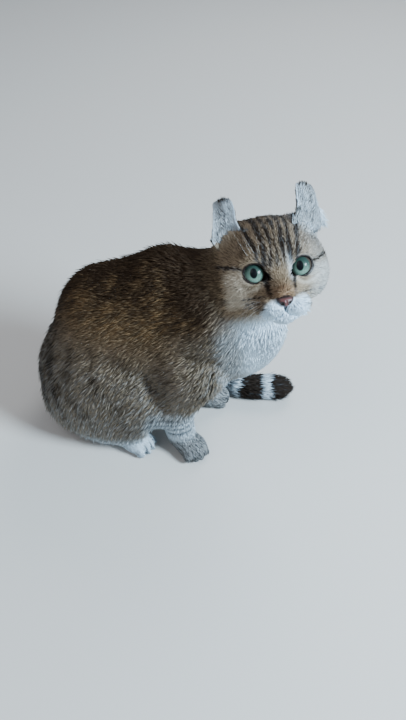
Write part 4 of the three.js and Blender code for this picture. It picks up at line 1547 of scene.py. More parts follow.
    def varied(self, at: Array, normals: Array, lie: Array, growth: Array, uv: Array,
               shares: Shares, seed: int) -> Roots:
        """Roots with each tuft's own length, width, turn and shade.

        Args:
            at: Where they are.
            normals: The skin's normals there.
            lie: Which way the coat lies.
            growth: The four numbers of growth.
            uv: Their places on the bake map.
            shares: Their shares of the markings.
            seed: Seeds what differs.

        Returns:
            The roots.
        """
        draw = np.random.default_rng(seed + SEEDS["variety"])
        count, plan = len(at), self.plan
        lie = along_skin(lie + plan.scatter * draw.normal(size=(count, 3)), normals)
        length = growth[:, 0] * draw.uniform(*plan.lengths, count)
        width = growth[:, 1] * draw.uniform(*plan.widths, count)
        stand = growth[:, 2] * draw.uniform(*plan.stands, count)
        stand = stand * np.where(draw.uniform(0, 1, count) < plan.proud[0], plan.proud[1], 1.0)
        long = smooth(7, 12, growth[:, 0])
        streak = combed(Ripple(2.7, 61), at, lie, 1.5) + 0.4 * Ripple(12, 67).at(at)
        clump = mixed(1.7 * combed(Ripple(1.9, 63), at, lie, 1.2), streak, long)
        own = mixed(0.9, 0.7, long) * (draw.uniform(0, 1, count) - 0.5)
        shade = np.clip(0.5 + own + 0.3 * clump, 0, 1)
        return Roots(at, normals, lie, length, width, stand, uv, shares, shade)

    def piece(self, name: str, roots: Roots, slot: str) -> Piece:
        """One piece of the coat.

        Args:
            name: The piece's name.
            roots: Where its tufts grow.
            slot: The record's slot.

        Returns:
            The piece.
        """
        points, faces, uv, height = Tuft().grown(roots)
        points[:, 2] = np.maximum(points[:, 2], self.plan.floor_gap)
        piece = self.bench.mesh(name, points, faces)
        count = len(height) // len(roots.at)
        shares = {key: np.repeat(share, count) for key, share in roots.shares.items()}
        store_shares(piece, shares, height, np.repeat(roots.shade, count))
        attach(piece, "skin_normal", np.repeat(roots.normals, count, axis=0))
        lay_map(piece, uv[faces.ravel()])
        return finish_piece(piece, self.finish, slot)

    def grow(self, name: str, surface: Surface, slot: str, on_tail: bool = False) -> None:
        """The coat of one part of the skin, in as many pieces as its tufts need, numbered if several.

        Args:
            name: The part's name, which its pieces and its seed go by.
            surface: The part of the skin.
            slot: The record's slot.
            on_tail: Whether it grows as the tail's does.
        """
        points = surface.points[surface.quads]
        diagonals = np.cross(points[:, 2] - points[:, 0], points[:, 3] - points[:, 1])
        area = np.linalg.norm(diagonals, axis=1) / 2
        density = self.density(surface, on_tail)
        want = area * density[surface.quads].mean(1) * len(Tuft().faces())
        pieces = math.ceil(want.sum() / self.plan.limit)
        middle = points.mean(1)
        along = middle[:, np.argmax(np.ptp(middle, axis=0))]
        order = np.argsort(along)
        share = np.minimum((np.cumsum(want[order]) / want.sum() * pieces).astype(int), pieces - 1)
        sow = self.tail_roots if on_tail else self.roots
        for n in range(pieces):
            part = kept(surface, order[share == n])
            label = f"coat_{name}_{n + 1}" if pieces > 1 else f"coat_{name}"
            self.piece(label, sow(part, SEEDS[name] + n), slot)


def kept(surface: Surface, quads: Array) -> Surface:
    """The part of a surface made by some of its quads."""
    rows = surface.quads[quads]
    used, renamed = np.unique(rows, return_inverse=True)
    return Surface(surface.points[used], renamed.reshape(rows.shape), surface.normals[used])


# The face's pieces


@dataclass(frozen=True)
class NosePlan:
    """The nose leather with its nostrils, in the head's frame."""

    centre: Triple = (46.6, 0.0, -25.4)
    radii: Triple = (6.0, 8.6, 5.0)
    pitch: float = -35.0
    chinward: float = 0.5
    nostril_at: Triple = (5.4, 3.9, -1.2)
    nostril_radii: Triple = (2.6, 1.7, 1.5)
    nostril_yaw: float = 32.0
    cell: float = 0.42

    def distance(self, q: Array) -> Array:
        """About how far points of the head's frame lie outside the leather."""
        p = turned(vec(*self.centre), 0, self.pitch).into(q) / vec(*self.radii)
        narrow = mixed(1.0, self.chinward, np.clip(0.45 - 0.75 * p[:, 2], 0, 1))
        p = p / columns(np.ones(len(p)), narrow, np.ones(len(p)))
        reach = np.linalg.norm(p, axis=1)
        slope = np.linalg.norm(p / vec(*self.radii), axis=1)
        return reach * (reach - 1) / np.maximum(slope, 1e-6)

    def nostrils(self, q: Array) -> Array:
        """About how far points lie outside the nostrils."""
        best = np.full(len(q), 1e9)
        for side in Side:
            at = turned(vec(*self.centre), 0, self.pitch / 2).out_of(
                vec(self.nostril_at[0], self.nostril_at[1] * side.value, self.nostril_at[2]))
            hole = Ellipsoid(tuple(at), self.nostril_radii, yaw=self.nostril_yaw * side.value)
            best = np.minimum(best, hole.distance(q))
        return best

    def shape(self, q: Array) -> Array:
        """The leather with its nostrils and the cleft below them taken out."""
        body = self.distance(q)
        cleft = np.hypot(q[:, 1], (q[:, 0] - 53.0) * 0.5) - 0.5
        body = carve(body, np.maximum(cleft, q[:, 2] + 25.5), 0.8)
        return carve(body, self.nostrils(q), 0.6)

    def build(self, flesh: Flesh, bench: Bench, material: Finish) -> Piece:
        """The nose, darker at its edge, with painted shade in its nostrils."""
        frame = flesh.skull.frame()
        middle = frame.out_of(vec(*self.centre))
        leather = surface_of(lambda p: self.shape(frame.into(p)), middle - 12, middle + 12, self.cell)
        q = frame.into(leather.points)
        edge = fall(1.3, 3.4, flesh.skin(leather.points))
        # Painted shade: the nostrils' holes are darkened; the edge and wings are the leather's own dark
        # rim.
        dark = np.maximum(0.95 * edge, 1 - smooth(0.2, 1.6, self.nostrils(q)))
        wing = np.maximum(smooth(3.4, 6.2, np.abs(q[:, 1])), smooth(-24.2, -22.2, q[:, 2]))
        dark = np.maximum(dark, 0.85 * wing)
        piece = bench.mesh("nose", leather.points, leather.quads)
        attach(piece, "hair", columns(dark, q[:, 1], q[:, 2]))
        return finish_piece(piece, material, "nose_leather", "nose")


@dataclass(frozen=True)
class Eye:
    """One eyeball with its iris and upright pupil, and the dark edge of its lids."""

    flesh: Flesh
    bench: Bench
    side: Side
    rows: int = 48
    rim_radius: float = 1.3
    rim_lift: float = 0.7

    def centre(self) -> Array:
        """The eyeball's middle in the cat's frame."""
        return self.flesh.skull.frame().out_of(self.flesh.eyes.centre(self.side))

    def ball(self, material: Finish) -> Piece:
        """The eyeball; its stored vector is each point's place across, up and out from where it looks."""
        centre = self.centre()
        gaze = unit(vec(*self.flesh.skull.look_at) - centre)
        view = frame_at(centre, gaze, self.flesh.skull.frame().axes[2])
        rings, spokes = self.rows, 2 * self.rows
        tilt = np.linspace(0.03, math.pi - 0.03, rings)
        turn = np.linspace(0, 2 * math.pi, spokes, endpoint=False)
        grid = np.stack([np.repeat(np.cos(tilt), spokes),
                         np.outer(np.sin(tilt), np.cos(turn)).ravel(),
                         np.outer(np.sin(tilt), np.sin(turn)).ravel()], 1)
        local = np.vstack([grid, [[1, 0, 0], [-1, 0, 0]]]) * self.flesh.eyes.radius
        i, j = np.meshgrid(np.arange(rings - 1), np.arange(spokes), indexing="ij")
        a, b = i * spokes + j, i * spokes + (j + 1) % spokes
        quads = np.stack([a, a + spokes, b + spokes, b], -1).reshape(-1, 4)
        first, last = rings * spokes, rings * spokes + 1
        ends = np.arange(spokes)
        caps = np.vstack([columns(np.full(spokes, first), ends, (ends + 1) % spokes),
                          np.stack([np.full(spokes, last), (rings - 1) * spokes + (ends + 1) % spokes,
                                    (rings - 1) * spokes + ends], 1)])
        faces = np.vstack([quads[:, [0, 1, 2]], quads[:, [0, 2, 3]], caps])
        piece = self.bench.mesh(f"eye_{self.side.label}", view.out_of(local), faces)
        attach(piece, "look", columns(local[:, 1], local[:, 2], local[:, 0]))
        return finish_piece(piece, material, "eye", f"eye_{self.side.label}")

    def rim(self, material: Finish) -> Piece:
        """The dark lid edge round the opening, thickest at the inner corner."""
        across, rise, inner = self.flesh.eyes.outline(self.side, 120)
        lean = 1.0 + 0.02 * np.hypot(across, rise)
        across, rise = across * lean, rise * lean
        radius = self.flesh.eyes.radius + self.rim_lift
        out = np.sqrt(np.maximum(radius ** 2 - across ** 2 - rise ** 2, 3.0))
        path = self.flesh.eyes.centre(self.side) + columns(out, across, rise)
        path = self.flesh.skull.frame().out_of(path)
        thick = self.rim_radius * (0.9 + 0.25 * inner)
        points, quads = tube(path, thick, closed=True)
        piece = self.bench.mesh(f"lid_{self.side.label}", points, quads)
        return finish_piece(piece, material, "nose_leather")


def tube(path: Array, radius: Array, closed: bool = False, sides: int = 8) -> tuple[Array, Array]:
    """A round tube along a path.

    Args:
        path: Its centre line.
        radius: Its radius at each point of the path.
        closed: Whether its end meets its start.
        sides: How many faces go round it.

    Returns:
        Its vertices, and its quads, or triangles with a cap on each end where it is open.
    """
    along = unit(np.roll(path, -1, 0) - np.roll(path, 1, 0)) if closed else unit(np.gradient(path, axis=0))
    first = unit(np.cross(along, vec(0.31, 0.52, 0.79)))
    second = np.cross(along, first)
    turn = np.linspace(0, 2 * math.pi, sides, endpoint=False)
    ring = (first[:, None] * np.cos(turn)[:, None] + second[:, None] * np.sin(turn)[:, None])
    points = (path[:, None] + ring * np.asarray(radius)[:, None, None]).reshape(-1, 3)
    rings, total = len(path), len(points)
    i, j = np.meshgrid(np.arange(rings if closed else rings - 1), np.arange(sides), indexing="ij")
    a, b = i * sides + j, i * sides + (j + 1) % sides
    faces = np.stack([a, b, (b + sides) % total, (a + sides) % total], -1).reshape(-1, 4)
    if not closed:
        points = np.vstack([points, path[:1], path[-1:]])
        here, after, last = np.arange(sides), (np.arange(sides) + 1) % sides, total - sides
        caps = [columns(np.full(sides, total), after, here),
                columns(np.full(sides, total + 1), last + here, last + after)]
        faces = np.vstack([faces[:, [0, 1, 2]], faces[:, [0, 2, 3]], *caps])
    return points, faces


@dataclass(frozen=True)
class Whiskers:
    """Long pale hairs on the whisker pads and over the eyes."""

    flesh: Flesh
    bench: Bench
    rows: int = 3
    in_row: int = 4
    over_eye: int = 4
    sunk: float = 0.8
    longest: float = 30.0
    radius: float = 0.11

    def paths(self) -> list[tuple[Array, float]]:
        """The path and thickness of each hair, in the cat's frame."""
        draw = np.random.default_rng(SEEDS["whiskers"])
        out = []
        for side in Side:
            for row in range(self.rows):
                for n in range(self.in_row):
                    way = unit(vec(-0.3 - 0.22 * n, 0.8, 0.02 - 0.2 * row) + 0.1 * draw.normal(size=3))
                    length = self.longest * (0.62 + 0.12 * n) * draw.uniform(0.85, 1.05)
                    out_to, height = 13.5 + 2.9 * n + 0.8 * (row % 2), -23.5 - 3.0 * row
                    path = self.bent(side, out_to, height, way, length, -0.2)
                    out.append((path, self.radius))
            for n in range(self.over_eye):
                way = unit(vec(0.35, 0.25 + 0.12 * n, 0.9) + 0.1 * draw.normal(size=3))
                path = self.bent(side, 15 + 3.2 * n, 15.5 - 0.4 * n, way, 17 + 3 * n, 0.12)
                out.append((path, 0.6 * self.radius))
        return out

    def bent(self, side: Side, y: float, z: float, way: Array, length: float, rise: float) -> Array:
        """A hair's path in the cat's frame, straight at first and then bent.

        Args:
            side: The side of the face.
            y: Its root's place out from the face's middle.
            z: Its root's height in the head's frame.
            way: Where it points on the left side.
            length: How long it is.
            rise: How far its tip bends up, as a share of its length.

        Returns:
            The points of its path.
        """
        way = way * vec(1, side.value, 1)
        t = np.linspace(0, 1, 9)[:, None]
        start = face_point(self.flesh, y * side.value, z) - way * self.sunk
        path = start + way * length * t + vec(-0.2, 0, 1) * (rise * length) * t ** 2
        return self.flesh.skull.frame().out_of(path)

    def build(self, material: Finish) -> Piece:
        """All the hairs as one piece."""
        points, faces = [], []
        start = 0
        for path, radius in self.paths():
            taper = radius * (1 - 0.8 * np.linspace(0, 1, len(path)))
            verts, tris = tube(path, taper, sides=4)
            points.append(verts)
            faces.append(tris + start)
            start += len(verts)
        piece = self.bench.mesh("whiskers", np.vstack(points), np.vstack(faces))
        return finish_piece(piece, material, "head_coat")


def face_point(flesh: Flesh, y: float, z: float) -> Array:
    """The point of the face's skin straight out at this place of the head's frame."""
    frame = flesh.skull.frame()
    depth = np.linspace(66, 0, 265)
    q = columns(depth, np.full(len(depth), y), np.full(len(depth), z))
    values = flesh.skin(frame.out_of(q))
    return q[int(np.argmax(values < 0))]


def mouth_grooves(flesh: Flesh) -> list[Capsule]:
    """The mouth's line on both sides of the lip's cleft, as thin capsules of the head's frame."""
    line = np.array(flesh.skull.mouth)
    steps = np.linspace(0, len(line) - 1, 16)
    rows = np.stack([np.interp(steps, np.arange(len(line)), line[:, n]) for n in range(2)], 1)
    grooves = []
    for side in Side:
        path = [face_point(flesh, y * side.value, z) for y, z in rows]
        for n, (a, b) in enumerate(zip(path, path[1:])):
            thin = flesh.skull.mouth_radius * (1 - 0.5 * (n / len(path)) ** 2)
            grooves.append(Capsule(tuple(a), tuple(b), (thin, thin)))
    return grooves


# Ears


@dataclass(frozen=True)
class EarPlan:
    """An ear that stands up and curls backward, as a sheet with its place across u and along v."""

    base_left: Triple = (0, 36, 37)
    base_right: Triple = (0, -36.5, 32)
    lean_left: float = 6.0
    lean_right: float = 0.0
    length: float = 52.0
    root_depth: float = 0.16
    half_width: float = 17.5
    waist: float = 0.32
    flare: float = 0.2
    lateral: float = 0.5
    tuck: float = 0.45
    start_pitch: float = -6.0
    curl: float = 150.0
    curl_power: float = 2.8
    cup: float = 0.5
    roll: float = 0.3
    thickness: Pair = (2.6, 1.3)

    def sheet(self, side: Side, u: Array, v: Array) -> Array:
        """The middle of the ear's wall in the head's frame.

        Args:
            side: Which ear.
            u: Places across, from -1 at the inner edge to 1 at the outer.
            v: Places along, from 0 at the foot to 1 at the tip.

        Returns:
            The points.
        """
        steps = 40
        t = (np.arange(steps) + 0.5) / steps * v[:, None]
        pitch = np.radians(self.start_pitch + self.curl * np.maximum(t, 0) ** self.curl_power)
        x = -np.sin(pitch).sum(1) * self.length * v / steps
        z = np.cos(pitch).sum(1) * self.length * v / steps
        clamped = np.clip(v, 0, 1)
        medial = self.waist + (1 - self.waist) * np.exp(-clamped / self.flare)
        medial = medial + 0.08 * np.sin(math.pi * np.clip((clamped - 0.35) / 0.5, 0, 1))
        lateral = self.lateral + (1 - self.lateral) * (1 - clamped) ** 1.5
        lateral = lateral * (1 - self.tuck * fall(-self.root_depth, 0.12, v))
        half = np.where(u < 0, medial, lateral) * self.half_width * np.sqrt(np.maximum(1 - clamped ** 5, 0))
        depth = (self.cup * (1 - clamped) ** 1.5 - self.roll * clamped) * u * u * half
        here = np.radians(self.start_pitch + self.curl * np.maximum(v, 0) ** self.curl_power)
        outward = columns(np.cos(here), np.zeros(len(u)), np.sin(here))
        q = columns(x, -1.5 * np.sin(3.1 * clamped), z)
        q = q + unit(vec(-0.3, 0.95, -0.1)) * (u * half)[:, None] + outward * depth[:, None]
        lean = math.radians(side.of(self.lean_left, self.lean_right))
        q = np.stack([q[:, 0], q[:, 1] * math.cos(lean) + q[:, 2] * math.sin(lean),
                      -0.6 * q[:, 1] * math.sin(lean) + q[:, 2] * math.cos(lean)], 1)
        return q * vec(1, side.value, 1) + vec(*side.of(self.base_left, self.base_right))

    def facing(self, side: Side, u: Array, v: Array) -> Array:
        """The direction out of the cup."""
        e = 0.02
        v = np.minimum(v, 0.95)
        across = self.sheet(side, u + e, v) - self.sheet(side, u - e, v)
        along = self.sheet(side, u, v + e) - self.sheet(side, u, v - e)
        return unit(np.cross(across, along)) * side.value


@dataclass(frozen=True)
class Ear:
    """One ear: its wall, the short coat outside, the fringe of its rim and the hair in its cup."""

    flesh: Flesh
    bench: Bench
    coat: Coat
    side: Side
    plan: EarPlan = EarPlan()
    across: int = 24
    along: int = 36

    def at(self, u: Array, v: Array, lift: Array | float) -> Array:
        """Points over the ear's wall in the cat's frame; a lift above 0 is inside the cup."""
        lift = np.broadcast_to(np.asarray(lift, float), u.shape)
        thick = mixed(self.plan.thickness[0], self.plan.thickness[1], np.maximum(v, 0)) * (1 - 0.35 * u * u)
        offset = lift + np.sign(lift) * thick / 2
        q = self.plan.sheet(self.side, u, v) + self.plan.facing(self.side, u, v) * offset[:, None]
        return self.flesh.skull.frame().out_of(q)

    def map_place(self, u: Array, v: Array, inside: Array | bool) -> Array:
        """Where points lie on the bake map: the cup on its left half, the ear's back on its right."""
        return columns(0.02 + 0.23 * (u + 1) + np.where(inside, 0, 0.5), 0.12 + 0.8 * v)

    def marks(self, u: Array, v: Array, inside: Array) -> Shares:
        """The ear's shares: pale inside and on its rim, brown-black outside and at its tip.

        Args:
            u: Places across.
            v: Places along.
            inside: Which of them are in the cup.

        Returns:
            The shares.
        """
        rim = smooth(0.8, 0.98, np.abs(u)) * np.where(inside, 1.0, 0.4)
        outer = smooth(-0.2, 0.9, u)
        dark = np.where(inside, 0.14 + 0.5 * smooth(0.86, 1.0, v) + 0.12 * np.sin(9 * u - 7 * v) ** 2,
                        0.72 - 0.25 * rim)
        dark = dark + np.where(inside, 0.5 * fall(-1.0, -0.55, u) * fall(0.1, 0.4, v), 0)
        pale = np.where(inside, 0.42 + 0.5 * rim * (1 - outer) + 0.1 * outer, 0.1 + 0.3 * rim)
        return {"dark": np.clip(dark * (1 - 0.6 * rim), 0, 1), "pale": np.clip(pale, 0, 1),
                "warm": np.where(inside, 0.08, 0.5), "red": np.zeros(len(u))}

    def wall(self, material: Finish) -> Piece:
        """The ear's closed wall."""
        u, v = np.meshgrid(np.linspace(-1, 1, self.across), np.linspace(-0.07, 0.985, self.along))
        u, v = u.ravel(), v.ravel()
        count = len(u)
        points = np.vstack([self.at(u, v, 1e-6), self.at(u, v, -1e-6)])
        i, j = np.meshgrid(np.arange(self.along - 1), np.arange(self.across - 1), indexing="ij")
        a = (i * self.across + j).ravel()
        front = columns(a, a + 1, a + 1 + self.across, a + self.across)
        edge = np.concatenate([np.arange(self.across),
                               np.arange(1, self.along) * self.across + self.across - 1,
                               (self.along - 1) * self.across + np.arange(self.across - 2, -1, -1),
                               np.arange(self.along - 2, 0, -1) * self.across])
        after = np.roll(edge, -1)
        sides = columns(edge + count, after + count, after, edge)
        quads = np.vstack([front, front[:, ::-1] + count, sides])
        if self.side is Side.RIGHT:
            quads = quads[:, ::-1]
        piece = self.bench.mesh(f"ear_{self.side.label}", points, quads)
        u, v, inside = np.tile(u, 2), np.tile(v, 2), np.repeat([True, False], count)
        store_shares(piece, self.marks(u, v, inside), np.zeros(2 * count), np.zeros(2 * count))
        lay_map(piece, self.map_place(u, v, inside)[quads.ravel()])
        return finish_piece(piece, material, "ear_coat", f"ear_{self.side.label}")

    def hairs(self, u: Array, v: Array, inside: bool, lie: Array, sizes: Triple,
              seed: int, marks: Shares) -> Roots:
        """Roots on one face of the wall.

        Args:
            u: Their places across.
            v: Their places along.
            inside: Whether they are in the cup.
            lie: Each one's lean in u and v.
            sizes: Length, width and stand in millimetres.
            seed: Seeds their variation.
            marks: Their shares.

        Returns:
            The roots.
        """
        lift = 1e-6 if inside else -1e-6
        at = self.at(u, v, lift)
        step = 0.01
        ahead = self.at(u + step * lie[:, 0], v + step * lie[:, 1], lift)
        normals = self.flesh.skull.frame().turn_out(self.plan.facing(self.side, u, v))
        normals = normals if inside else -normals
        growth = np.tile(vec(*sizes, 1.0), (len(u), 1))
        return self.coat.varied(at, normals, along_skin(ahead - at, normals), growth,
                                self.map_place(u, v, inside), marks, seed)

    def build(self, wall: Finish) -> None:
        """The wall with its finish, and its hair with the coat's."""
        draw = np.random.default_rng(SEEDS["ears"] + self.side.value)
        groups = []

        def add(count: int, across: Pair, along: Pair, inside: bool,
                lean: Triple, sizes: Triple,
                tint: Triple | None = None) -> None:
            """Adds hairs over a patch, with their lean and its scatter, and their own shares if given."""
            u, v = draw.uniform(*across, count), draw.uniform(*along, count)
            marks = self.marks(u, v, np.full(count, inside))
            if tint:
                spread = draw.uniform(-0.12, 0.12, count)
                marks["dark"] = np.clip(tint[0] + spread, 0, 1)
                marks["pale"] = np.clip(tint[1] - spread, 0, 1)
                marks["warm"] = np.full(count, tint[2])
            way = np.stack([lean[0] + lean[2] * draw.normal(size=count),
                            lean[1] + lean[2] * draw.normal(size=count)], 1)
            groups.append(self.hairs(u, v, inside, way, sizes, len(groups) + 1, marks))

        add(3000, (-1, 1), (-0.02, 0.97), False, (0, 1, 0.1), (4.6, 0.8, 0.8))
        add(2200, (-0.95, 0.95), (0.0, 0.97), True, (0.9, 0.7, 0.3), (4.2, 0.6, 0.5))
        add(150, (-0.95, 0.0), (0.02, 0.6), True, (1.0, 0.55, 0.15), (10.0, 0.5, 1.4), (0.1, 0.7, 0.1))
        add(110, (-0.9, 0.5), (0.0, 0.7), True, (1.0, 0.5, 0.15), (8.0, 0.5, 1.2), (0.6, 0.1, 0.1))
        add(420, (-1.0, -0.93), (0.12, 0.9), True, (-0.3, 1, 0.1), (3.6, 0.6, 0.7), (0.0, 0.98, 0.1))
        add(420, (0.93, 1.0), (0.12, 0.9), True, (0.3, 1, 0.15), (4.5, 0.55, 0.7), (0.14, 0.6, 0.1))
        add(260, (-1.0, 0.6), (-0.08, 0.1), True, (-0.2, 1, 0.3), (10.0, 0.9, 2.0), (0.3, 0.4, 0.1))
        if self.side is Side.RIGHT:
            add(160, (0.1, 1.0), (-0.07, 0.06), True, (0.4, -1.0, 0.35), (9.0, 1.0, 1.6), (0.3, 0.4, 0.8))
            add(240, (-0.9, 0.8), (-0.07, 0.04), True, (0.1, -1.0, 0.5), (9.0, 1.0, 1.6), (0.3, 0.35, 0.6))
        else:
            add(420, (-0.7, 1.0), (-0.07, 0.12), True, (0.25, -1.0, 0.3), (9.0, 0.9, 0.9), (0.25, 0.6, 0.1))
            add(110, (0.8, 1.0), (0.1, 0.34), True, (1.0, -0.5, 0.08), (11.0, 0.8, 0.6), (0.04, 0.95, 0.1))
            add(160, (-1.0, -0.75), (-0.05, 0.2), True, (-0.5, 1, 0.3), (8.0, 0.8, 1.4), (0.75, 0.0, 0.1))
        add(60, (-0.5, 0.5), (0.68, 0.78), True, (0.0, 1, 0.3), (3.6, 0.4, 2.6), (0.95, 0.0, 0.1))
        self.wall(wall)
        self.coat.piece(f"ear_coat_{self.side.label}", gathered(groups), "ear_coat")


def gathered(groups: Sequence[Roots]) -> Roots:
    """Several sets of roots as one."""
    rows = {name: np.concatenate([getattr(group, name) for group in groups])
            for name in ("at", "normals", "lie", "length", "width", "stand", "uv", "shade")}
    shares = {key: np.concatenate([group.shares[key] for group in groups]) for key in groups[0].shares}
    return Roots(shares=shares, **rows)


# Finishes of the face


@dataclass(frozen=True)
class IrisFinish:
    """A green-grey iris with an upright pupil under a clear cornea; lengths in millimetres."""

    name: str = "eye"
    bright: Colour = paint(112, 140, 126)
    deep: Colour = paint(40, 60, 54)
    ring: Colour = paint(70, 92, 74)
    pupil: Colour = paint(5, 7, 12)
    white: Colour = paint(60, 52, 46)
    pupil_half: Pair = (3.1, 4.4)
    iris_radius: float = 9.2

    def build(self) -> Finish:
        """Fine spokes run out from the pupil, and the iris darkens at its edge; its top is darkened as
        painted shade from the upper lid.
        """
        nodes = Nodes(self.name)
        across, up, out = nodes.parts("look")
        reach = (across * across + up * up) ** 0.5
        angle = nodes.value(nodes.add("ShaderNodeMath", {"operation": "ARCTAN2"}, {0: across, 1: up}))
        polar = nodes.add("ShaderNodeCombineXYZ", {}, {0: angle * 5.0, 1: reach * 0.35})
        spokes = nodes.value(nodes.add("ShaderNodeTexNoise", {}, {"Vector": polar.outputs[0], "Scale": 2.4,
                                                                  "Detail": 4.0}))
        # Painted shade: the iris turns deeper towards its top, where the upper lid shades it, and it is a
        # little darker towards the cat's left.
        light = (spokes * 1.5 - 0.46 - up * 0.1 - across * 0.02).clamped()
        colour = nodes.blend(light, self.deep, self.bright)
        colour = nodes.blend(1 - (reach - 2.2).between(0.0, 2.6), colour, self.ring)
        colour = nodes.blend((reach - (self.iris_radius - 1.6)).between(0.0, 1.6), colour, self.white)
        slit = ((across / self.pupil_half[0]) ** 2.0 + (up / self.pupil_half[1]) ** 2.0) ** 0.5
        colour = nodes.blend(1 - slit.between(0.9, 1.15), colour, self.pupil)
        colour = nodes.blend(1 - out.between(-1.0, 1.0), colour, self.white)
        return nodes.surface({"Base Color": colour, "Roughness": 0.4, "Coat Weight": 0.22,
                              "Coat Roughness": 0.03, "Specular IOR Level": 0.1})


@dataclass(frozen=True)
class LeatherFinish:
    """Moist nose leather, brick pink with a dark edge."""

    name: str = "nose leather"
    pink: Colour = paint(88, 50, 48)
    pebble: Colour = paint(92, 50, 46)
    edge: Colour = paint(28, 18, 17)
    grain: float = 1400.0

    def build(self) -> Finish:
        """Pebbled like real leather, and darker where the stored line is."""
        nodes = Nodes(self.name)
        line = nodes.parts("hair")[0]
        grain = nodes.noise(self.grain)
        colour = nodes.blend((grain - 0.3) * 0.5, self.pink, self.pebble)
        # The stored line darkens the leather's edge and wings, and also its nostrils as painted shade.
        colour = nodes.blend(line, colour, self.edge)
        bump = nodes.add("ShaderNodeBump", {}, {"Strength": 0.5, "Distance": 0.0003, "Height": grain})
        return nodes.surface({"Base Color": colour, "Roughness": 0.42, "Normal": bump.outputs[0]})


@dataclass(frozen=True)
class PlainFinish:
    """One even colour, for the lids' edges, the whiskers and the floor."""

    name: str
    colour: Colour
    roughness: float

    def build(self) -> Finish:
        """The finish."""
        nodes = Nodes(self.name)
        return nodes.surface({"Base Color": self.colour, "Roughness": self.roughness})


# Floor, light and camera


@dataclass(frozen=True)
class Studio:
    """A pale floor, soft lights and the camera at the photograph's viewing angle."""

    bench: Bench
    camera_at: Triple = (200.4, -564.64, 633.0)
    azimuth: float = 16.0
    elevation: float = 42.0
    focal: float = 38.0
    sensor: float = 36.0
    floor_size: float = 6.0
    floor_colour: Colour = paint(206, 203, 198)
    target: Triple = (0.02, 0.0, 0.12)
    lamp_distance: float = 1.9
    sky_colour: Colour = paint(214, 222, 235)
    sky_strength: float = 0.42

    def floor(self) -> Piece:
        """A wide plain floor under the cat."""
        half = self.floor_size / 2
        mesh = bpy.data.meshes.new("floor")
        mesh.from_pydata([(-half, -half, 0), (half, -half, 0), (half, half, 0), (-half, half, 0)], [],
                         [(0, 1, 2, 3)])
        floor = bpy.data.objects.new("floor", mesh)
        bpy.context.scene.collection.objects.link(floor)
        mesh.materials.append(PlainFinish("pale floor", self.floor_colour, 0.7).build())
        return floor

    def light(self, name: str, azimuth: float, elevation: float, size: float, power: float,
              colour: Triple) -> Piece:
        """A soft lamp that faces the cat.

        Args:
            name: Its name.
            azimuth: How far round from the front of the floor, in degrees.
            elevation: How high, in degrees.
            size: Its width in metres.
            power: Its power in watts.
            colour: Its colour.

        Returns:
            The lamp.
        """
        lamp = bpy.data.lights.new(name, "AREA")
        lamp.size, lamp.energy, lamp.color = size, power, colour
        lamp.shape = "DISK"
        a, e = math.radians(azimuth), math.radians(elevation)
        way = Vector((math.sin(a) * math.cos(e), -math.cos(a) * math.cos(e), math.sin(e)))
        piece = bpy.data.objects.new(name, lamp)
        turn = way.to_track_quat("Z", "Y").to_matrix().to_4x4()
        place = Vector(self.target) + way * self.lamp_distance
        piece.matrix_world = Matrix.Translation(place) @ turn
        bpy.context.scene.collection.objects.link(piece)
        return piece

    def sky(self) -> None:
        """Even pale light from all round."""
        world = bpy.data.worlds.new("studio")
        world.use_nodes = True
        background = world.node_tree.nodes["Background"]
        background.inputs[0].default_value = self.sky_colour
        background.inputs[1].default_value = self.sky_strength
        bpy.context.scene.world = world

    def camera(self) -> None:
        """The camera where the photographer stood."""
        data = bpy.data.cameras.new("camera")
        data.lens, data.sensor_width, data.sensor_fit = self.focal, self.sensor, "AUTO"
        data.clip_start, data.clip_end = 0.01, 30.0
        data.dof.use_dof = False
        camera = bpy.data.objects.new("camera", data)
        place = Vector(self.bench.place(vec(*self.camera_at)))
        turn = Matrix.Rotation(math.radians(self.azimuth), 4, "Z")
        tilt = Matrix.Rotation(math.radians(90 - self.elevation), 4, "X")
        camera.matrix_world = Matrix.Translation(place) @ turn @ tilt
        bpy.context.scene.collection.objects.link(camera)
        bpy.context.scene.camera = camera

    def build(self) -> None:
        """Sets it all up."""
        floor = self.floor()
        lights = [self.light("key", 74, 34, 0.6, 101, (0.67, 0.85, 1.0)),
                  self.light("fill", -40, 50, 1.6, 9, (0.98, 0.98, 1.0)),
                  self.light("back", 170, 40, 1.2, 16, (0.92, 0.96, 1.0))]
        self.sky()
        self.camera()


# The cat


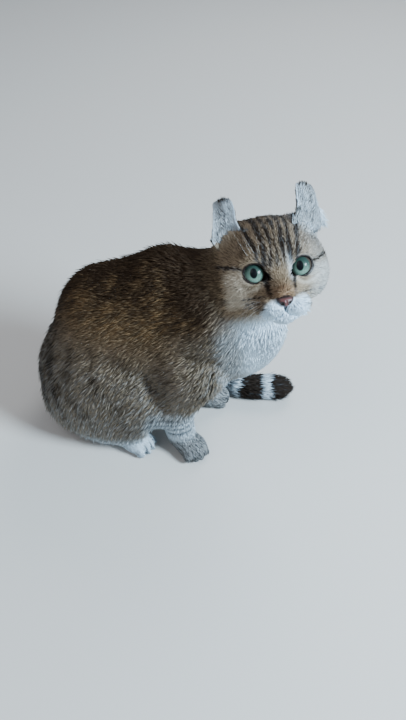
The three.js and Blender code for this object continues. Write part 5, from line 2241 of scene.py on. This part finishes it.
@dataclass
class Cat:
    """Builds the skin, coat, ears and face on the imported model; cells are for head, body and tail."""

    bench: Bench
    flesh: Flesh = field(default_factory=Flesh)
    head_reach: float = 70.0
    head_box: float = 76.0
    overlap: float = 1.5
    cells: Triple = (1.05, 2.1, 1.9)

    def head_surface(self) -> Surface:
        """The head's skin, finely meshed."""
        centre = vec(*self.flesh.skull.centre)
        head = surface_of(self.flesh.skin, centre - self.head_box, centre + self.head_box, self.cells[0])
        return without(head, np.linalg.norm(head.points - centre, axis=1) > self.head_reach + self.overlap)

    def body_surface(self) -> Surface:
        """The skin of trunk, neck, legs and paws."""
        body = surface_of(self.flesh.skin, (-160, -82, -4), (130, 84, 262), self.cells[1])
        reach = np.linalg.norm(body.points - vec(*self.flesh.skull.centre), axis=1)
        return without(body, reach < self.head_reach - self.overlap)

    def tail_surface(self) -> Surface:
        """The tail's skin."""
        return surface_of(self.flesh.tail_skin, (-170, -35, -4), (142, 126, 64), self.cells[2])

    def skin_piece(self, surface: Surface, material: Finish) -> Piece:
        """One skin in place of the solids of flesh, with the coat's markings.

        Args:
            surface: The whole skin.
            material: Its finish.

        Returns:
            The piece.
        """
        near = self.flesh.parts(surface.points)
        marks = Markings(self.flesh)
        shares = marks.shares(surface.points, surface.normals, near)
        reach, place, _ = self.flesh.tail.nearest(surface.points)
        on_tail = reach < 0.8 - self.flesh.tail.coat
        tail = marks.tail(place, surface.points)
        shares = {key: np.where(on_tail, tail[key], shares[key]) for key in shares}
        q = self.flesh.in_head(surface.points)
        line = np.zeros(len(q))
        for side in Side:
            rim = fall(1.2, 2.2, self.flesh.eyes.opening(q, side))
            line = np.maximum(line, rim * (q[:, 0] > 12))
        for groove in self.flesh.grooves:
            faded = 1 - 0.75 * smooth(3, 9, np.abs(q[:, 1]))
            line = np.maximum(line, fall(0.1, 0.9, groove.distance(q)) * faded)
        line = np.maximum(line, fall(0.3, 1.1, NosePlan().distance(q)) * 0.9)
        piece = self.bench.mesh("skin", surface.points, surface.quads)
        store_shares(piece, shares, line, np.zeros(len(q)))
        lay_map(piece, Unwrap().laid(surface).reshape(-1, 2))
        nodes = ["head", "neck", "torso", "tail_base", "tail_mid", "tail_tip"]
        nodes += [f"{end}_{limb}_{side.label}" for end in ("front", "hind") for limb in ("leg", "paw")
                  for side in Side]
        return finish_piece(piece, material, "body_coat", *nodes)

    def zone(self, surface: Surface, name: str) -> Surface:
        """The part of the body's skin that one group of the coat covers."""
        middle = surface.points[surface.quads].mean(1)
        limb = nearest_leg(self.flesh.parts(middle)) < 7
        paw = limb & (middle[:, 2] < 26)
        leg = limb & (middle[:, 2] < 78) & ~paw
        neck = (middle[:, 0] > 40) & (middle[:, 2] > 160) & ~leg
        chosen = {"paw": paw, "leg": leg, "neck": neck, "body": ~(paw | leg | neck)}[name]
        return kept(surface, np.flatnonzero(chosen))

    def build(self) -> None:
        """Every piece in order."""
        flesh = self.flesh
        flesh.grooves.extend(mouth_grooves(flesh))
        coat_finish, skin_finish = CoatFinish().build(), SkinFinish().build()
        head, body, tail = self.head_surface(), self.body_surface(), self.tail_surface()
        log.info("surfaces: head %d, body %d, tail %d", len(head.quads), len(body.quads), len(tail.quads))
        self.skin_piece(joined([head, body, tail]), skin_finish)
        coat = Coat(flesh, Markings(flesh), self.bench, coat_finish)
        middle = flesh.in_head(head.points[head.quads].mean(1))
        front = (middle[:, 0] > 6) & (np.abs(middle[:, 1]) < 40)
        for name, chosen in (("face", front), ("head", ~front)):
            coat.grow(name, kept(head, np.flatnonzero(chosen)), "head_coat")
        for name in ("neck", "body", "leg", "paw"):
            coat.grow(name, self.zone(body, name), f"{name}_coat")
        coat.grow("tail", tail, "tail_coat", on_tail=True)
        iris, rim = IrisFinish().build(), PlainFinish("lid edge", paint(18, 14, 14), 0.35).build()
        for side in Side:
            eye = Eye(flesh, self.bench, side)
            eye.ball(iris)
            eye.rim(rim)
            Ear(flesh, self.bench, coat, side).build(skin_finish)
        NosePlan().build(flesh, self.bench, LeatherFinish().build())
        Whiskers(flesh, self.bench).build(PlainFinish("whisker", paint(226, 224, 218), 0.4).build())


def main() -> None:
    """Builds the scene."""
    logging.basicConfig(level=logging.INFO, format="%(message)s")
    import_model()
    flesh = Flesh()
    low, high = (np.array(corner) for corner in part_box("eye_left"))
    shift = (low + high) / 2 / MM - flesh.skull.frame().out_of(flesh.eyes.centre(Side.LEFT))
    bench = Bench(shift)
    log.info("shift %s", np.round(shift, 3))
    Cat(bench, flesh).build()
    Studio(bench).build()


if __name__ == "__main__":
    main()
